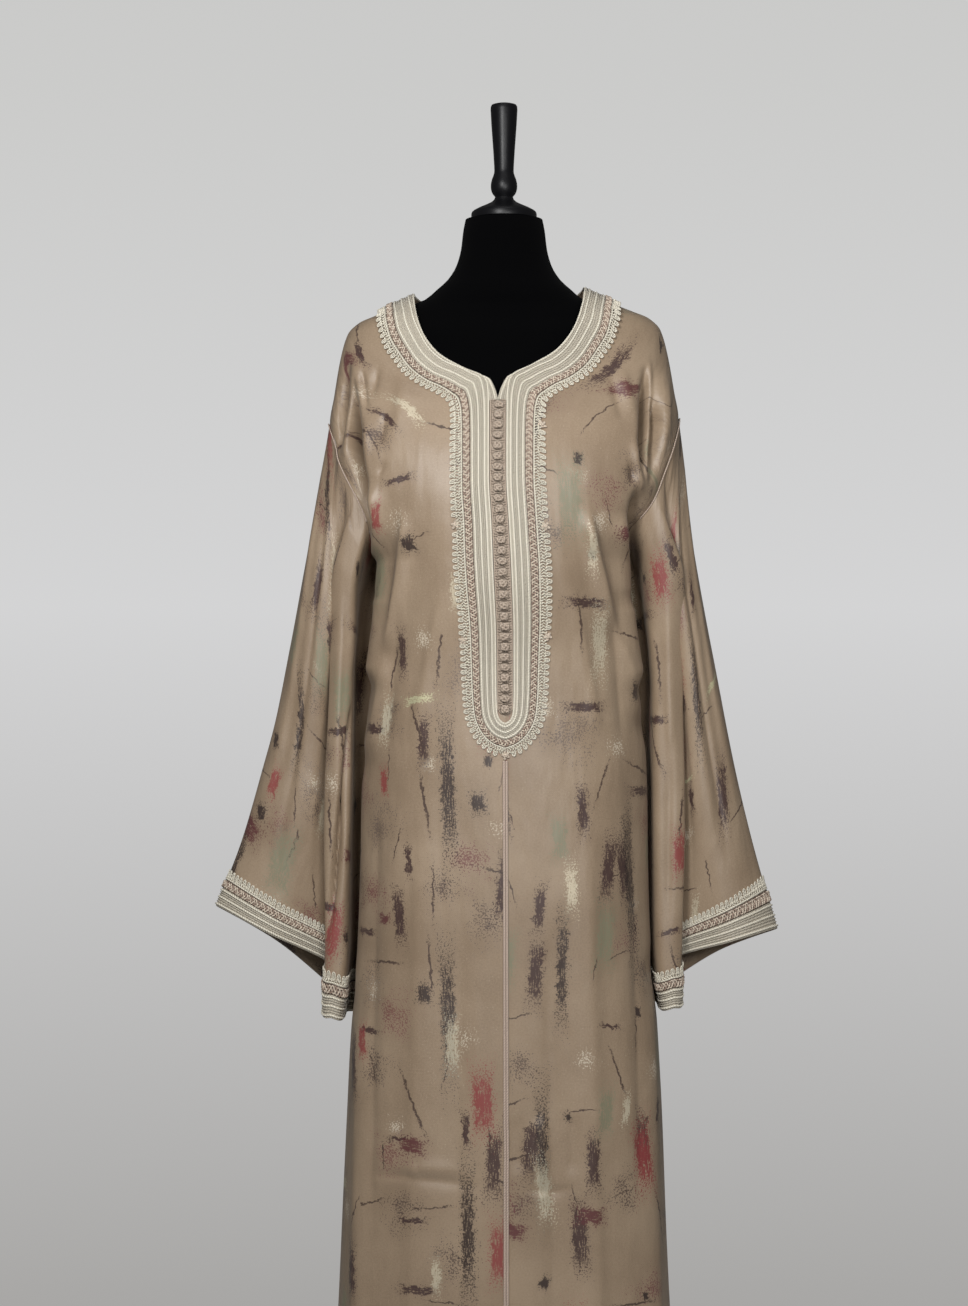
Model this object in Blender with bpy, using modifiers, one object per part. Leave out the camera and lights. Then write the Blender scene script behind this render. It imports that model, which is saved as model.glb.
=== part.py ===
"""A Moroccan caftan on a limbless dress form, in metres, +Z up, with its front towards -Y.

The origin is the middle of the stand's underside. Left and right are the viewer's.
"""

import math

import bmesh
import bpy
import numpy as np
from mathutils import Vector
from mathutils.bvhtree import BVHTree

for leftover in list(bpy.data.objects):
    bpy.data.objects.remove(leftover, do_unlink=True)

MM = 0.001
SEAM_GAP = 0.3 * MM
CLOTH = 1.5 * MM
HEM_HEIGHT = 0.050
UNDERARM_HEIGHT = 1.142
ARMHOLE_TOP_HEIGHT = 1.328
PLACKET_TIP_HEIGHT = 0.894

# The garment's tilt about the front axis, as a rise over a run across, and where it sets in.
LEAN = 0.015
LEAN_FOOT = 0.95
LEAN_REACH = 0.35


class Table:
    """Rows of sizes under named columns, read between the rows along a curve that never overshoots."""

    def __init__(self, names, *rows):
        self.names = names.split()
        self.rows = np.array(rows, float)

    def column(self, name):
        return self.rows[:, self.names.index(name)]

    def at(self, name, position):
        keys = self.rows[:, 0]
        values = self.column(name)
        steps = np.diff(keys)
        rises = np.diff(values) / steps
        slopes = np.concatenate([rises[:1], np.zeros(len(keys) - 2), rises[-1:]])
        before, after = rises[:-1], rises[1:]
        same_way = before * after > 0
        total = np.where(same_way, before + after, 1.0)
        slopes[1:-1] = np.where(same_way, 2 * before * after / total, 0.0)
        low = np.clip(np.searchsorted(keys, position, side="right") - 1, 0, len(keys) - 2)
        step = steps[low]
        t = np.clip((position - keys[low]) / step, 0.0, 1.0)
        rise = values[low + 1] - values[low]
        start, end = slopes[low] * step, slopes[low + 1] * step
        ease = t * t * (3 - 2 * t)
        return values[low] + rise * ease + start * t * (1 - t) ** 2 - end * t * t * (1 - t)


# Sections of the garment as it hangs, from the hem up. Above the underarm the half width is that of the
# outer fold of the shoulder; the depths are measured from the side seams to the middle of each panel.
BODY = Table(
    "height half_width front back squareness",
    (0.050, 0.2230, 0.150, 0.142, 2.8),
    (0.178, 0.2145, 0.148, 0.139, 2.8),
    (0.420, 0.2040, 0.143, 0.132, 2.8),
    (0.550, 0.1965, 0.140, 0.128, 2.8),
    (0.650, 0.1860, 0.138, 0.125, 2.7),
    (0.750, 0.1830, 0.136, 0.122, 2.7),
    (0.850, 0.1810, 0.135, 0.120, 2.6),
    (0.940, 0.1770, 0.133, 0.117, 2.5),
    (1.044, 0.1630, 0.130, 0.112, 2.4),
    (1.142, 0.1570, 0.133, 0.110, 2.3),
    (1.200, 0.1935, 0.139, 0.110, 2.4),
    (1.246, 0.2110, 0.140, 0.110, 2.5),
    (1.290, 0.2240, 0.128, 0.111, 2.5),
    (1.328, 0.2262, 0.112, 0.111, 2.4),
    (1.362, 0.2210, 0.094, 0.108, 2.3),
    (1.4135, 0.2120, 0.080, 0.100, 2.2),
    (1.444, 0.2030, 0.072, 0.090, 2.1),
    (1.4585, 0.1885, 0.068, 0.084, 2.1),
    (1.4665, 0.1700, 0.066, 0.081, 2.0),
    (1.472, 0.1560, 0.065, 0.079, 2.0),
    (1.4825, 0.1300, 0.062, 0.075, 2.0),
    (1.490, 0.1130, 0.060, 0.072, 2.0),
    (1.4945, 0.1040, 0.058, 0.070, 2.0),
    (1.502, 0.0850, 0.055, 0.066, 2.0),
)

# How far the front opening's line strays from the middle.
CENTRE = Table(
    "height shift",
    (0.050, 0.0020),
    (1.050, 0.0000),
    (1.119, -0.0024),
    (1.184, -0.0055),
    (1.250, -0.0090),
    (1.350, -0.0085),
    (1.500, -0.0065),
)

# Where each row of a front panel starts at the centre front or neckline and ends at the side seam or
# armhole, and how much of the shoulder's rise it takes. The inner width is from the centre line.
FRONT_ROWS = Table(
    "row inner_width inner_height outer_height shoulder",
    (0, 0.0, HEM_HEIGHT, HEM_HEIGHT, 0),
    (1, 0.0, 0.180, 0.180, 0),
    (2, 0.0, 0.310, 0.310, 0),
    (3, 0.0, 0.430, 0.430, 0),
    (4, 0.0, 0.540, 0.540, 0),
    (5, 0.0, 0.640, 0.640, 0),
    (6, 0.0, 0.740, 0.740, 0),
    (7, 0.0, 0.840, 0.840, 0),
    (8, 0.0, 0.920, 0.920, 0),
    (9, 0.0, 0.985, 0.985, 0),
    (10, 0.0, 1.040, 1.040, 0),
    (11, 0.0, 1.095, 1.095, 0),
    (12, 0.0, 1.145, UNDERARM_HEIGHT, 0),
    (13, 0.0, 1.195, 1.166, 0.02),
    (14, 0.0, 1.245, 1.190, 0.06),
    (15, 0.0, 1.300, 1.214, 0.13),
    (16, 0.0030, 1.3484, 1.238, 0.24),
    (17, 0.0175, 1.3760, 1.261, 0.38),
    (18, 0.0450, 1.3905, 1.282, 0.54),
    (19, 0.0775, 1.4120, 1.300, 0.70),
    (20, 0.0985, 1.4430, 1.314, 0.84),
    (21, 0.1070, 1.4740, 1.323, 0.95),
    (22, 0.1080, 1.4930, ARMHOLE_TOP_HEIGHT, 1),
)
FIRST_ARMHOLE_ROW = 12
ARMHOLE = Table(
    "height width",
    (UNDERARM_HEIGHT, 0.1570),
    (1.190, 0.1768),
    (1.238, 0.1968),
    (1.282, 0.2132),
    (1.314, 0.2230),
    (ARMHOLE_TOP_HEIGHT, 0.2262),
)

# Shares of the shoulder line, from the neck to the top of the armhole, where the panels' columns end.
FRONT_SHOULDER = (0, 0.12, 0.22, 0.31, 0.38, 0.43, 0.48, 0.55, 0.64, 0.74, 0.83, 0.92, 1)
BACK_SHOULDER = (0, 0.22, 0.38, 0.43, 0.55, 0.74, 1)
BACK_NECK_COLUMNS = 4

# Height of each row at the middle of the back, where it ends at the back neckline.
BACK_MIDDLE = Table(
    "row height",
    (0, HEM_HEIGHT),
    (11, 1.095),
    (12, 1.145),
    (17, 1.330),
    (20, 1.425),
    (22, 1.472),
)
NECK_HALF_WIDTH = 0.1080
NECK_SIDE_HEIGHT = 1.4935
BACK_NECK_DROP = 0.0215

# The panels' columns close up a little towards the side by this power. Above the given height a panel
# faces up as well as out by the given share.
COLUMN_POWER = 0.85
SHOULDER_FACE_HEIGHT = 1.40
SHOULDER_FACE_RISE = 0.10
FOLD_FADE = 0.06

# Ridges (raised) and troughs (sunk) in the cloth: across and height at each end, half breadth, rise.
FRONT_FOLDS = Table(
    "number start_across start_height end_across end_height breadth rise",
    (0, 0.112, 1.175, 0.150, 1.010, 0.013, 0.007),
    (1, 0.150, 1.010, 0.176, 0.880, 0.013, 0.009),
    (2, 0.176, 0.880, 0.184, 0.560, 0.011, 0.007),
    (3, 0.184, 0.560, 0.190, 0.050, 0.013, 0.006),
    (4, 0.180, 1.400, 0.176, 1.250, 0.016, -0.008),
    (5, 0.158, 1.390, 0.160, 1.260, 0.014, 0.005),
    (6, 0.132, 1.100, 0.150, 0.900, 0.012, -0.005),
    (7, 0.105, 0.820, 0.120, 0.100, 0.020, 0.004),
    (8, 0.055, 0.700, 0.060, 0.080, 0.018, -0.004),
)
BACK_FOLDS = Table(
    "number start_across start_height end_across end_height breadth rise",
    (0, 0.085, 1.300, 0.100, 0.100, 0.022, 0.007),
    (1, -0.060, 1.280, -0.075, 0.100, 0.022, 0.006),
    (2, 0.020, 1.100, 0.015, 0.080, 0.020, -0.006),
    (3, 0.150, 1.380, 0.160, 0.900, 0.014, 0.006),
    (4, -0.150, 1.380, -0.160, 0.900, 0.014, 0.006),
    (5, 0.178, 0.880, 0.190, 0.080, 0.014, 0.006),
    (6, -0.178, 0.880, -0.190, 0.080, 0.014, 0.006),
    (7, 0.052, 0.900, 0.058, 0.080, 0.016, -0.005),
)

# Sleeve sections from the armhole to the cuff: the outer fold, the valley where the underarm cloth folds
# forward, and the front edge beside the body, then how far each layer stands out from the middle plane.
# From that edge the cloth turns back and rests against the body.
SLEEVES = {
    -1: Table(
        "share fold_x fold_z valley_x valley_z edge_x edge_z front valley column back",
        (0.00, 0.2262, 1.3380, 0.1937, 1.2443, 0.1600, 1.1500, 0.058, 0.050, 0.040, 0.060),
        (0.16, 0.2444, 1.2261, 0.2067, 1.1481, 0.1850, 1.0896, 0.052, 0.034, 0.042, 0.050),
        (0.31, 0.2600, 1.1338, 0.2158, 1.0441, 0.1924, 1.0311, 0.046, 0.022, 0.042, 0.044),
        (0.46, 0.2756, 1.0350, 0.2210, 0.9471, 0.1963, 0.9466, 0.042, 0.016, 0.042, 0.040),
        (0.60, 0.2925, 0.9505, 0.2262, 0.8591, 0.1976, 0.8491, 0.038, 0.012, 0.042, 0.036),
        (0.73, 0.3146, 0.8725, 0.2288, 0.7811, 0.1976, 0.7516, 0.036, 0.010, 0.042, 0.034),
        (0.87, 0.3419, 0.7815, 0.2301, 0.7046, 0.1989, 0.6541, 0.034, 0.008, 0.042, 0.032),
        (1.00, 0.3744, 0.6996, 0.2327, 0.6346, 0.2093, 0.5553, 0.034, 0.006, 0.042, 0.032),
    ),
    1: Table(
        "share fold_x fold_z valley_x valley_z edge_x edge_z front valley column back",
        (0.00, 0.2262, 1.3180, 0.1898, 1.2352, 0.1600, 1.1450, 0.058, 0.050, 0.040, 0.060),
        (0.16, 0.2366, 1.2196, 0.2054, 1.1351, 0.1790, 1.0805, 0.052, 0.034, 0.042, 0.050),
        (0.31, 0.2496, 1.1403, 0.2184, 1.0311, 0.1870, 1.0181, 0.046, 0.022, 0.042, 0.044),
        (0.46, 0.2652, 1.0480, 0.2262, 0.9471, 0.1900, 0.9336, 0.042, 0.016, 0.042, 0.040),
        (0.60, 0.2821, 0.9661, 0.2301, 0.8591, 0.1915, 0.8426, 0.038, 0.012, 0.042, 0.036),
        (0.73, 0.3016, 0.8751, 0.2314, 0.7776, 0.1915, 0.7516, 0.036, 0.010, 0.042, 0.034),
        (0.87, 0.3224, 0.7867, 0.2301, 0.7061, 0.1930, 0.6541, 0.034, 0.008, 0.042, 0.032),
        (1.00, 0.3549, 0.6697, 0.2275, 0.6424, 0.2045, 0.5683, 0.034, 0.006, 0.042, 0.032),
    ),
}
SLEEVE_SHARES = (
    0.0, 0.04, 0.10, 0.18, 0.27, 0.37, 0.47, 0.57, 0.67, 0.76, 0.85, 0.915, 0.932, 0.966, 1.0,
)
BACK_LAYER_DROP = 0.010
BACK_NEAR_SHARE = 0.9
EDGE_FORWARD_SHARE = 0.62
BODY_SPACES = Table(
    "share space",
    (0.00, 0.0),
    (0.08, 2.5 * MM),
    (0.60, 2.5 * MM),
    (1.00, 7.0 * MM),
)
BODY_SIDE_DEPTH = 4.0 * MM
SLEEVE_FRONT_STEPS = (3, 2, 2, 2, 1)
SLEEVE_BACK_STEPS = (3, 4, 3)
SLEEVE_HEAD_SHARE = 0.30
SLEEVE_WAY_OUT = (0.70, 0.0, -0.10)
RING_STEPS = 24
CUFF_TOOTH_SHARE = 0.915
CUFF_BAND_SHARE = 0.932

# The dress form from its underside up; its neck is round and its shoulders end in flat armhole caps.
TORSO = Table(
    "height half_width front back squareness",
    (0.745, 0.1500, 0.088, 0.088, 2.2),
    (0.765, 0.1640, 0.100, 0.100, 2.2),
    (0.860, 0.1680, 0.108, 0.106, 2.2),
    (0.940, 0.1500, 0.102, 0.098, 2.2),
    (1.044, 0.1300, 0.090, 0.078, 2.2),
    (1.142, 0.1420, 0.102, 0.084, 2.2),
    (1.200, 0.1520, 0.122, 0.092, 2.2),
    (1.246, 0.1600, 0.128, 0.098, 2.2),
    (1.290, 0.1680, 0.116, 0.102, 2.2),
    (1.345, 0.1780, 0.088, 0.100, 2.2),
    (1.400, 0.1860, 0.069, 0.084, 2.1),
    (1.440, 0.1820, 0.062, 0.074, 2.1),
    (1.4575, 0.1680, 0.054, 0.066, 2.0),
    (1.4672, 0.1500, 0.052, 0.064, 2.0),
    (1.4771, 0.1240, 0.050, 0.062, 2.0),
    (1.4860, 0.1020, 0.053, 0.063, 2.0),
    (1.4965, 0.0897, 0.053, 0.064, 2.0),
    (1.5120, 0.0728, 0.050, 0.061, 2.0),
    (1.5300, 0.0618, 0.048, 0.057, 2.0),
    (1.5511, 0.0559, 0.047, 0.054, 2.0),
    (1.5750, 0.0530, 0.046, 0.052, 2.0),
    (1.5900, 0.0500, 0.044, 0.050, 2.0),
)
TORSO_RINGS = (
    0.745, 0.765, 0.810, 0.870, 0.940, 1.040, 1.142, 1.200, 1.246, 1.295, 1.345, 1.400, 1.440,
    1.4575, 1.4672, 1.4771, 1.486, 1.4965, 1.512, 1.530, 1.5511, 1.575, 1.590,
)
TORSO_SIDES = 24

# Turned pieces, as radius and height.
CAP_PROFILE = (
    (0.0, 1.5903), (0.0420, 1.5903), (0.0426, 1.5935), (0.0422, 1.5990), (0.0400, 1.6015),
    (0.0240, 1.6090), (0.0130, 1.6160), (0.0118, 1.6190), (0.0, 1.6190),
)
FINIAL_PROFILE = (
    (0.0, 1.6193), (0.0118, 1.6193), (0.0155, 1.6255), (0.0172, 1.6340), (0.0155, 1.6430),
    (0.0126, 1.6520), (0.0126, 1.6560), (0.0140, 1.6800), (0.0165, 1.7150), (0.0176, 1.7340),
    (0.0160, 1.7390), (0.0, 1.7400),
)
CAP_STEPS = 20
FINIAL_STEPS = 16
POLE_RADIUS = 0.016
POLE_STEPS = 16
PLATE_RADIUS = 0.185
PLATE_STEPS = 32
PLATE_PROFILE = (
    (0.0, 0.0), (PLATE_RADIUS, 0.0), (PLATE_RADIUS, 0.008), (0.178, 0.012), (0.034, 0.014),
    (0.028, 0.034), (0.0, 0.034),
)

# The neck band, from the back neck round to the tip of the opening: its inner edge and the outer tips of
# its scallops. Widths are from the centre line; the side is -1 in front, 0 on the shoulder, 1 behind.
# Each stretch is cut into the given steps. Down the opening the stations follow the panels' own rows.
BAND_PATH = Table(
    "station inner_width inner_height outer_width outer_height side steps",
    (0, 0.0000, 1.4740, 0.0000, 1.4300, 1, 4),
    (1, 0.0480, 1.4765, 0.0640, 1.4360, 1, 4),
    (2, 0.0880, 1.4870, 0.1220, 1.4560, 1, 4),
    (3, 0.1062, 1.4980, 0.1540, 1.4790, 0, 4),
    (4, 0.1024, 1.4689, 0.1500, 1.4300, -1, 3),
    (5, 0.0927, 1.4412, 0.1345, 1.4010, -1, 2),
    (6, 0.0808, 1.4205, 0.1170, 1.3785, -1, 2),
    (7, 0.0634, 1.4047, 0.0980, 1.3640, -1, 2),
    (8, 0.0425, 1.3948, 0.0810, 1.3555, -1, 2),
    (9, 0.0270, 1.3862, 0.0690, 1.3470, -1, 2),
    (10, 0.0155, 1.3790, 0.0620, 1.3380, -1, 2),
    (11, 0.0108, 1.3470, 0.0605, 1.3226, -1, 1),
    (12, 0.0106, 1.2980, 0.0607, 1.2755, -1, 1),
    (13, 0.0106, 1.2430, 0.0607, 1.2260, -1, 1),
    (14, 0.0106, 1.1940, 0.0600, 1.1850, -1, 1),
    (15, 0.0106, 1.1448, 0.0588, 1.1440, -1, 1),
    (16, 0.0106, 1.0950, 0.0577, 1.0950, -1, 1),
    (17, 0.0106, 1.0400, 0.0563, 1.0400, -1, 1),
    (18, 0.0106, 0.9850, 0.0545, 0.9850, -1, 2),
    (19, 0.0098, 0.9550, 0.0510, 0.9480, -1, 2),
    (20, 0.0070, 0.9450, 0.0390, 0.9200, -1, 2),
    (21, 0.0035, 0.9415, 0.0190, 0.9010, -1, 2),
    (22, 0.0003, 0.9400, 0.0007, PLACKET_TIP_HEIGHT, -1, 0),
)
BAND_OFFSET = 0.8 * MM
WAY_SMOOTHINGS = 3
BAND_LIFT = Table(
    "station lift",
    (0, 0.3 * MM),
    (1, 1.2 * MM),
    (2, 2.3 * MM),
    (3, 2.0 * MM),
    (3.6, 5.0 * MM),
    (4, 3.0 * MM),
    (5, 1.0 * MM),
    (8, 0.3 * MM),
    (11, 0.3 * MM),
    (12, 0.8 * MM),
    (14, 0.8 * MM),
    (16, 0.2 * MM),
    (22, 0.0),
)
# The band across, from its inner edge to the scallops: share of the whole width and height of its face.
BAND_SECTION = Table(
    "share height",
    (0.00, 0.0012),
    (0.05, 0.0026),
    (0.13, 0.0014),
    (0.22, 0.0028),
    (0.31, 0.0014),
    (0.40, 0.0028),
    (0.48, 0.0016),
    (0.72, 0.0014),
)
BAND_UNDERSIDE_SHARES = (0.0, 0.18, 0.36, 0.54, 0.72)
SCALLOP_START = 0.748
SCALLOP_VALLEY = 0.90
SCALLOP_THICKNESS = 1.3 * MM
SCALLOP_ROOT_LIFT = 0.6 * MM
NECK_SCALLOPS_PER_HALF = 90

# The buttons' half sizes across, deep and high, and the strip that they stand on.
BUTTON_TOP = 1.337
BUTTON_PITCH = 0.0131
BUTTON_COUNT = 30
BUTTON_SIZE = (0.0056, 0.0036, 0.0046)
STRIP_HALF_WIDTH = 0.0098
STRIP_OFFSET = 1.5 * MM
STRIP_THICKNESS = 1.0 * MM
STRIP_TOP, STRIP_FOOT = 1.344, 0.9560
STRIP_END_SPACE = 0.010

# The double cord down the centre front below the opening, across from its middle.
FRONT_SEAM_STEPS = 14
FRONT_SEAM_TOP = PLACKET_TIP_HEIGHT - 4.0 * MM
FRONT_SEAM_FOOT = HEM_HEIGHT + 2.0 * MM
FRONT_SEAM_SECTION = Table(
    "across height",
    (-3.4 * MM, 0.5 * MM),
    (-1.8 * MM, 2.1 * MM),
    (0.0 * MM, 1.2 * MM),
    (1.8 * MM, 2.1 * MM),
    (3.4 * MM, 0.5 * MM),
)

# The cuff band from its upper edge to the sleeve's end, and the scallops above it.
CUFF_SECTION = Table(
    "share height",
    (0.00, 2.0 * MM),
    (0.28, 2.2 * MM),
    (0.36, 3.4 * MM),
    (0.50, 2.0 * MM),
    (0.62, 3.4 * MM),
    (0.76, 2.0 * MM),
    (0.90, 3.2 * MM),
    (1.00, 2.0 * MM),
)
CUFF_UNDERSIDE = 0.5 * MM
CUFF_UNDERSIDE_SHARES = (0.0, 0.5, 1.0)
CUFF_SCALLOPS = 58
CUFF_SCALLOP_VALLEY = 0.62
CUFF_SCALLOP_START = 0.03
CUFF_SCALLOP_ROOT = 1.0 * MM
CUFF_SCALLOP_FACES = (2.5 * MM, 1.5 * MM)

# The cord round each armhole stands this far off the cloth. It starts and ends this many of the loop's
# columns short of the underarm, where the sleeve lies against the body.
ARMHOLE_CORD_RADIUS = 1.0 * MM
ARMHOLE_CORD_SPACE = 1.0 * MM
ARMHOLE_CORD_SHORT = 3

COLOURS = {
    "caftan_cloth": ((0.36, 0.26, 0.19), 0.55, 0.0),
    "cream_trim": ((0.66, 0.60, 0.48), 0.75, 0.0),
    "tan_knots": ((0.42, 0.32, 0.23), 0.70, 0.0),
    "black_jersey": ((0.006, 0.006, 0.007), 0.95, 0.0),
    "black_satin_paint": ((0.010, 0.010, 0.011), 0.35, 0.0),
    "black_painted_steel": ((0.012, 0.012, 0.013), 0.45, 0.4),
}

part = bpy.data.collections.new("caftan_on_dress_form")
bpy.context.scene.collection.children.link(part)


def material(name):
    """One Principled material for each kind of surface."""
    found = bpy.data.materials.get(name)
    if found:
        return found
    colour, roughness, metallic = COLOURS[name]
    made = bpy.data.materials.new(name)
    made.use_nodes = True
    surface = made.node_tree.nodes["Principled BSDF"]
    surface.inputs["Base Color"].default_value = (*colour, 1.0)
    surface.inputs["Roughness"].default_value = roughness
    surface.inputs["Metallic"].default_value = metallic
    made.diffuse_color = (*colour, 1.0)
    return made


def add_mesh(name, points, faces, finish):
    """A mesh object from points and faces, its faces turned outwards and shaded smooth."""
    mesh = bpy.data.meshes.new(name)
    mesh.from_pydata([tuple(point) for point in points], [], faces)
    shape = bmesh.new()
    shape.from_mesh(mesh)
    bmesh.ops.recalc_face_normals(shape, faces=shape.faces)
    shape.to_mesh(mesh)
    shape.free()
    mesh.polygons.foreach_set("use_smooth", [True] * len(mesh.polygons))
    mesh.materials.append(material(finish))
    piece = bpy.data.objects.new(name, mesh)
    part.objects.link(piece)
    return piece


def shell(name, outer, inner, finish, ring=False):
    """A wall between two grids with the same columns; a ring closes round its columns."""
    rows, columns = outer.shape[:2]
    inner_rows = len(inner)
    points = np.concatenate([outer.reshape(-1, 3), inner.reshape(-1, 3)])
    start = rows * columns
    faces = []
    for row in range(rows - 1):
        for column in range(columns if ring else columns - 1):
            after = (column + 1) % columns
            faces.append((row * columns + column, row * columns + after,
                          (row + 1) * columns + after, (row + 1) * columns + column))
    for row in range(inner_rows - 1):
        for column in range(columns if ring else columns - 1):
            after = (column + 1) % columns
            faces.append((start + row * columns + column, start + (row + 1) * columns + column,
                          start + (row + 1) * columns + after, start + row * columns + after))
    for outer_row, inner_row in ((0, 0), (rows - 1, inner_rows - 1)):
        for column in range(columns if ring else columns - 1):
            after = (column + 1) % columns
            faces.append((outer_row * columns + column, outer_row * columns + after,
                          start + inner_row * columns + after, start + inner_row * columns + column))
    if not ring:
        for end in (0, columns - 1):
            down = [row * columns + end for row in range(rows)]
            up = [start + row * columns + end for row in range(inner_rows)][::-1]
            if rows != inner_rows:
                faces.append(tuple(down + up))
                continue
            for row in range(rows - 1):
                faces.append((down[row], down[row + 1], up[rows - 2 - row], up[rows - 1 - row]))
    return add_mesh(name, points, faces, finish)


def unit(vectors):
    return vectors / np.linalg.norm(vectors, axis=-1, keepdims=True)


def grid_normals(points, away):
    """Normals of a grid of points, turned to the side that the away vector points to."""
    along = np.gradient(points, axis=0)
    across = np.gradient(points, axis=1)
    normals = unit(np.cross(along, across))
    wrong = (normals * away).sum(axis=-1) < 0
    normals[wrong] *= -1
    return normals


def ring_normals(rings):
    """Normals of a tube of rings, out of the tube also where it folds in on itself."""
    around = np.concatenate([rings[:, -1:], rings, rings[:, :1]], axis=1)
    along = np.gradient(around, axis=0)
    across = np.gradient(around, axis=1)
    normals = unit(np.cross(along, across))[:, 1:-1]
    outward = rings - rings.mean(axis=1, keepdims=True)
    return normals * np.sign((normals * outward).sum())


def depth_share(across, height):
    """How much of the section's depth the cloth has at a place: 1 in the middle, 0 at the side fold."""
    squareness = BODY.at("squareness", height)
    reach = np.clip(np.abs(across) / BODY.at("half_width", height), 0, 1)
    return (1 - reach**squareness) ** (1 / squareness)


def fold_rise(folds, across, height, side):
    """Rise of all the folds of a panel at a place; each fades out at its two ends."""
    rise = np.zeros_like(across)
    for fold in folds.rows:
        start = np.array(fold[1:3])
        end = np.array(fold[3:5])
        run = end - start
        length = np.linalg.norm(run)
        run = run / length
        from_start = np.stack([across * side - start[0], height - start[1]], axis=-1)
        along = from_start @ run
        beside = from_start @ np.array([-run[1], run[0]])
        fade = np.clip(np.minimum(along, length - along) / FOLD_FADE + 0.5, 0, 1)
        rise += fold[6] * np.exp(-((beside / fold[5]) ** 2)) * fade * fade * (3 - 2 * fade)
    return rise


def shoulder_line(first_width, last_height, shares):
    """Points of the outer fold from the neck to the top of the armhole, at shares of its length."""
    heights = np.linspace(1.5005, last_height, 400)
    widths = BODY.at("half_width", heights)
    kept = widths >= first_width
    line = np.stack([widths[kept], heights[kept]], axis=-1)
    gone = np.concatenate([[0], np.cumsum(np.linalg.norm(np.diff(line, axis=0), axis=1))])
    wanted = np.asarray(shares) * gone[-1]
    across = np.interp(wanted, gone, line[:, 0])
    return np.stack([across, np.interp(wanted, gone, line[:, 1])], axis=-1)


def lean(points):
    """The garment sits a little higher on its right shoulder."""
    weight = np.clip((points[..., 2] - LEAN_FOOT) / LEAN_REACH, 0, 1)
    leaned = points.copy()
    leaned[..., 2] += LEAN * points[..., 0] * weight
    return leaned


def panel_rows(side, front):
    """The inner and outer end of each row of half a panel."""
    rows = FRONT_ROWS
    heights = rows.column("outer_height")
    below = np.arange(len(heights)) < FIRST_ARMHOLE_ROW
    widths = np.where(below, BODY.at("half_width", heights), ARMHOLE.at("width", heights))
    outer = np.stack([widths, heights], axis=-1)
    if front:
        centre = side * CENTRE.at("shift", rows.column("inner_height"))
        starts = rows.column("inner_width") + centre
        return np.stack([starts, rows.column("inner_height")], axis=-1), outer
    middles = BACK_MIDDLE.at("height", rows.column("row"))
    return np.stack([np.zeros(len(middles)), middles], axis=-1), outer


def panel_top(side, front):
    """The top edge of half a panel: the back neckline, on the back, and then the shoulder line."""
    neck_point = NECK_HALF_WIDTH + side * CENTRE.at("shift", NECK_SIDE_HEIGHT)
    if front:
        return shoulder_line(neck_point, ARMHOLE_TOP_HEIGHT, FRONT_SHOULDER)
    shoulder = shoulder_line(neck_point, ARMHOLE_TOP_HEIGHT, BACK_SHOULDER)
    turn = np.linspace(0, math.pi / 2, BACK_NECK_COLUMNS, endpoint=False)
    neck_heights = shoulder[0, 1] - BACK_NECK_DROP * np.cos(turn) ** 2
    neck = np.stack([neck_point * np.sin(turn), neck_heights], axis=-1)
    return np.concatenate([neck, shoulder])


def panel_grid(side, front):
    """The outer points of half a front or back panel, from the centre to the side, from the hem up."""
    inner, outer = panel_rows(side, front)
    top = panel_top(side, front)
    shares = np.sin(np.linspace(0, math.pi / 2, len(top))) ** COLUMN_POWER
    straight_top = inner[-1] + shares[:, None] * (outer[-1] - inner[-1])
    flat = inner[:, None] + shares[None, :, None] * (outer - inner)[:, None]
    flat = flat + FRONT_ROWS.column("shoulder")[:, None, None] * (top - straight_top)[None]
    across, height = flat[..., 0] * side, flat[..., 1]
    depth = BODY.at("front" if front else "back", height) * depth_share(across, height)
    points = np.stack([across, (-depth if front else depth), height], axis=-1)
    away = points.copy()
    away[..., 2] = np.where(height > SHOULDER_FACE_HEIGHT, SHOULDER_FACE_RISE, 0.0)
    normals = grid_normals(points, away)
    if front:
        rise = fold_rise(FRONT_FOLDS, across, height, side)
    else:
        rise = fold_rise(BACK_FOLDS, across, height, 1)
    rise = rise * depth_share(across, height).clip(0, 0.5) * 2
    return lean(points + normals * rise[..., None]), normals


def panel_walls(points, normals, front, side=0):
    """Outer and inner points of a panel, held back from its seams by half the seam gap."""
    outer = points.copy()
    inner = points - normals * CLOTH
    half_gap = SEAM_GAP / 2
    for wall in (outer, inner):
        if front:
            wall[..., 1] = np.minimum(wall[..., 1], -half_gap)
            centre = CENTRE.at("shift", wall[..., 2])
            reach = np.maximum((wall[..., 0] - centre) * side, half_gap)
            wall[..., 0] = centre + side * reach
        else:
            wall[..., 1] = np.maximum(wall[..., 1], half_gap)
    return outer, inner


def read_along(gone, line, wanted):
    """Points of a line at the wanted lengths along it."""
    return np.stack([np.interp(wanted, gone, line[:, axis]) for axis in range(3)], axis=-1)


def closed_ring(stations, counts):
    """A smooth loop through stations; each stretch between two of them is cut into its count of steps."""
    t = np.linspace(0, 1, RING_STEPS)[:, None]
    ring = []
    for number, count in enumerate(counts):
        a, b, c, d = (stations[(number + shift) % len(stations)] for shift in (-1, 0, 1, 2))
        stretch = 2 * b + (c - a) * t + (2 * a - 5 * b + 4 * c - d) * t**2 + (3 * b - a - 3 * c + d) * t**3
        stretch = stretch / 2
        gone = np.concatenate([[0], np.cumsum(np.linalg.norm(np.diff(stretch, axis=0), axis=1))])
        ring.append(read_along(gone, stretch, np.linspace(0, gone[-1], count, endpoint=False)))
    return np.concatenate(ring)


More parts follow.
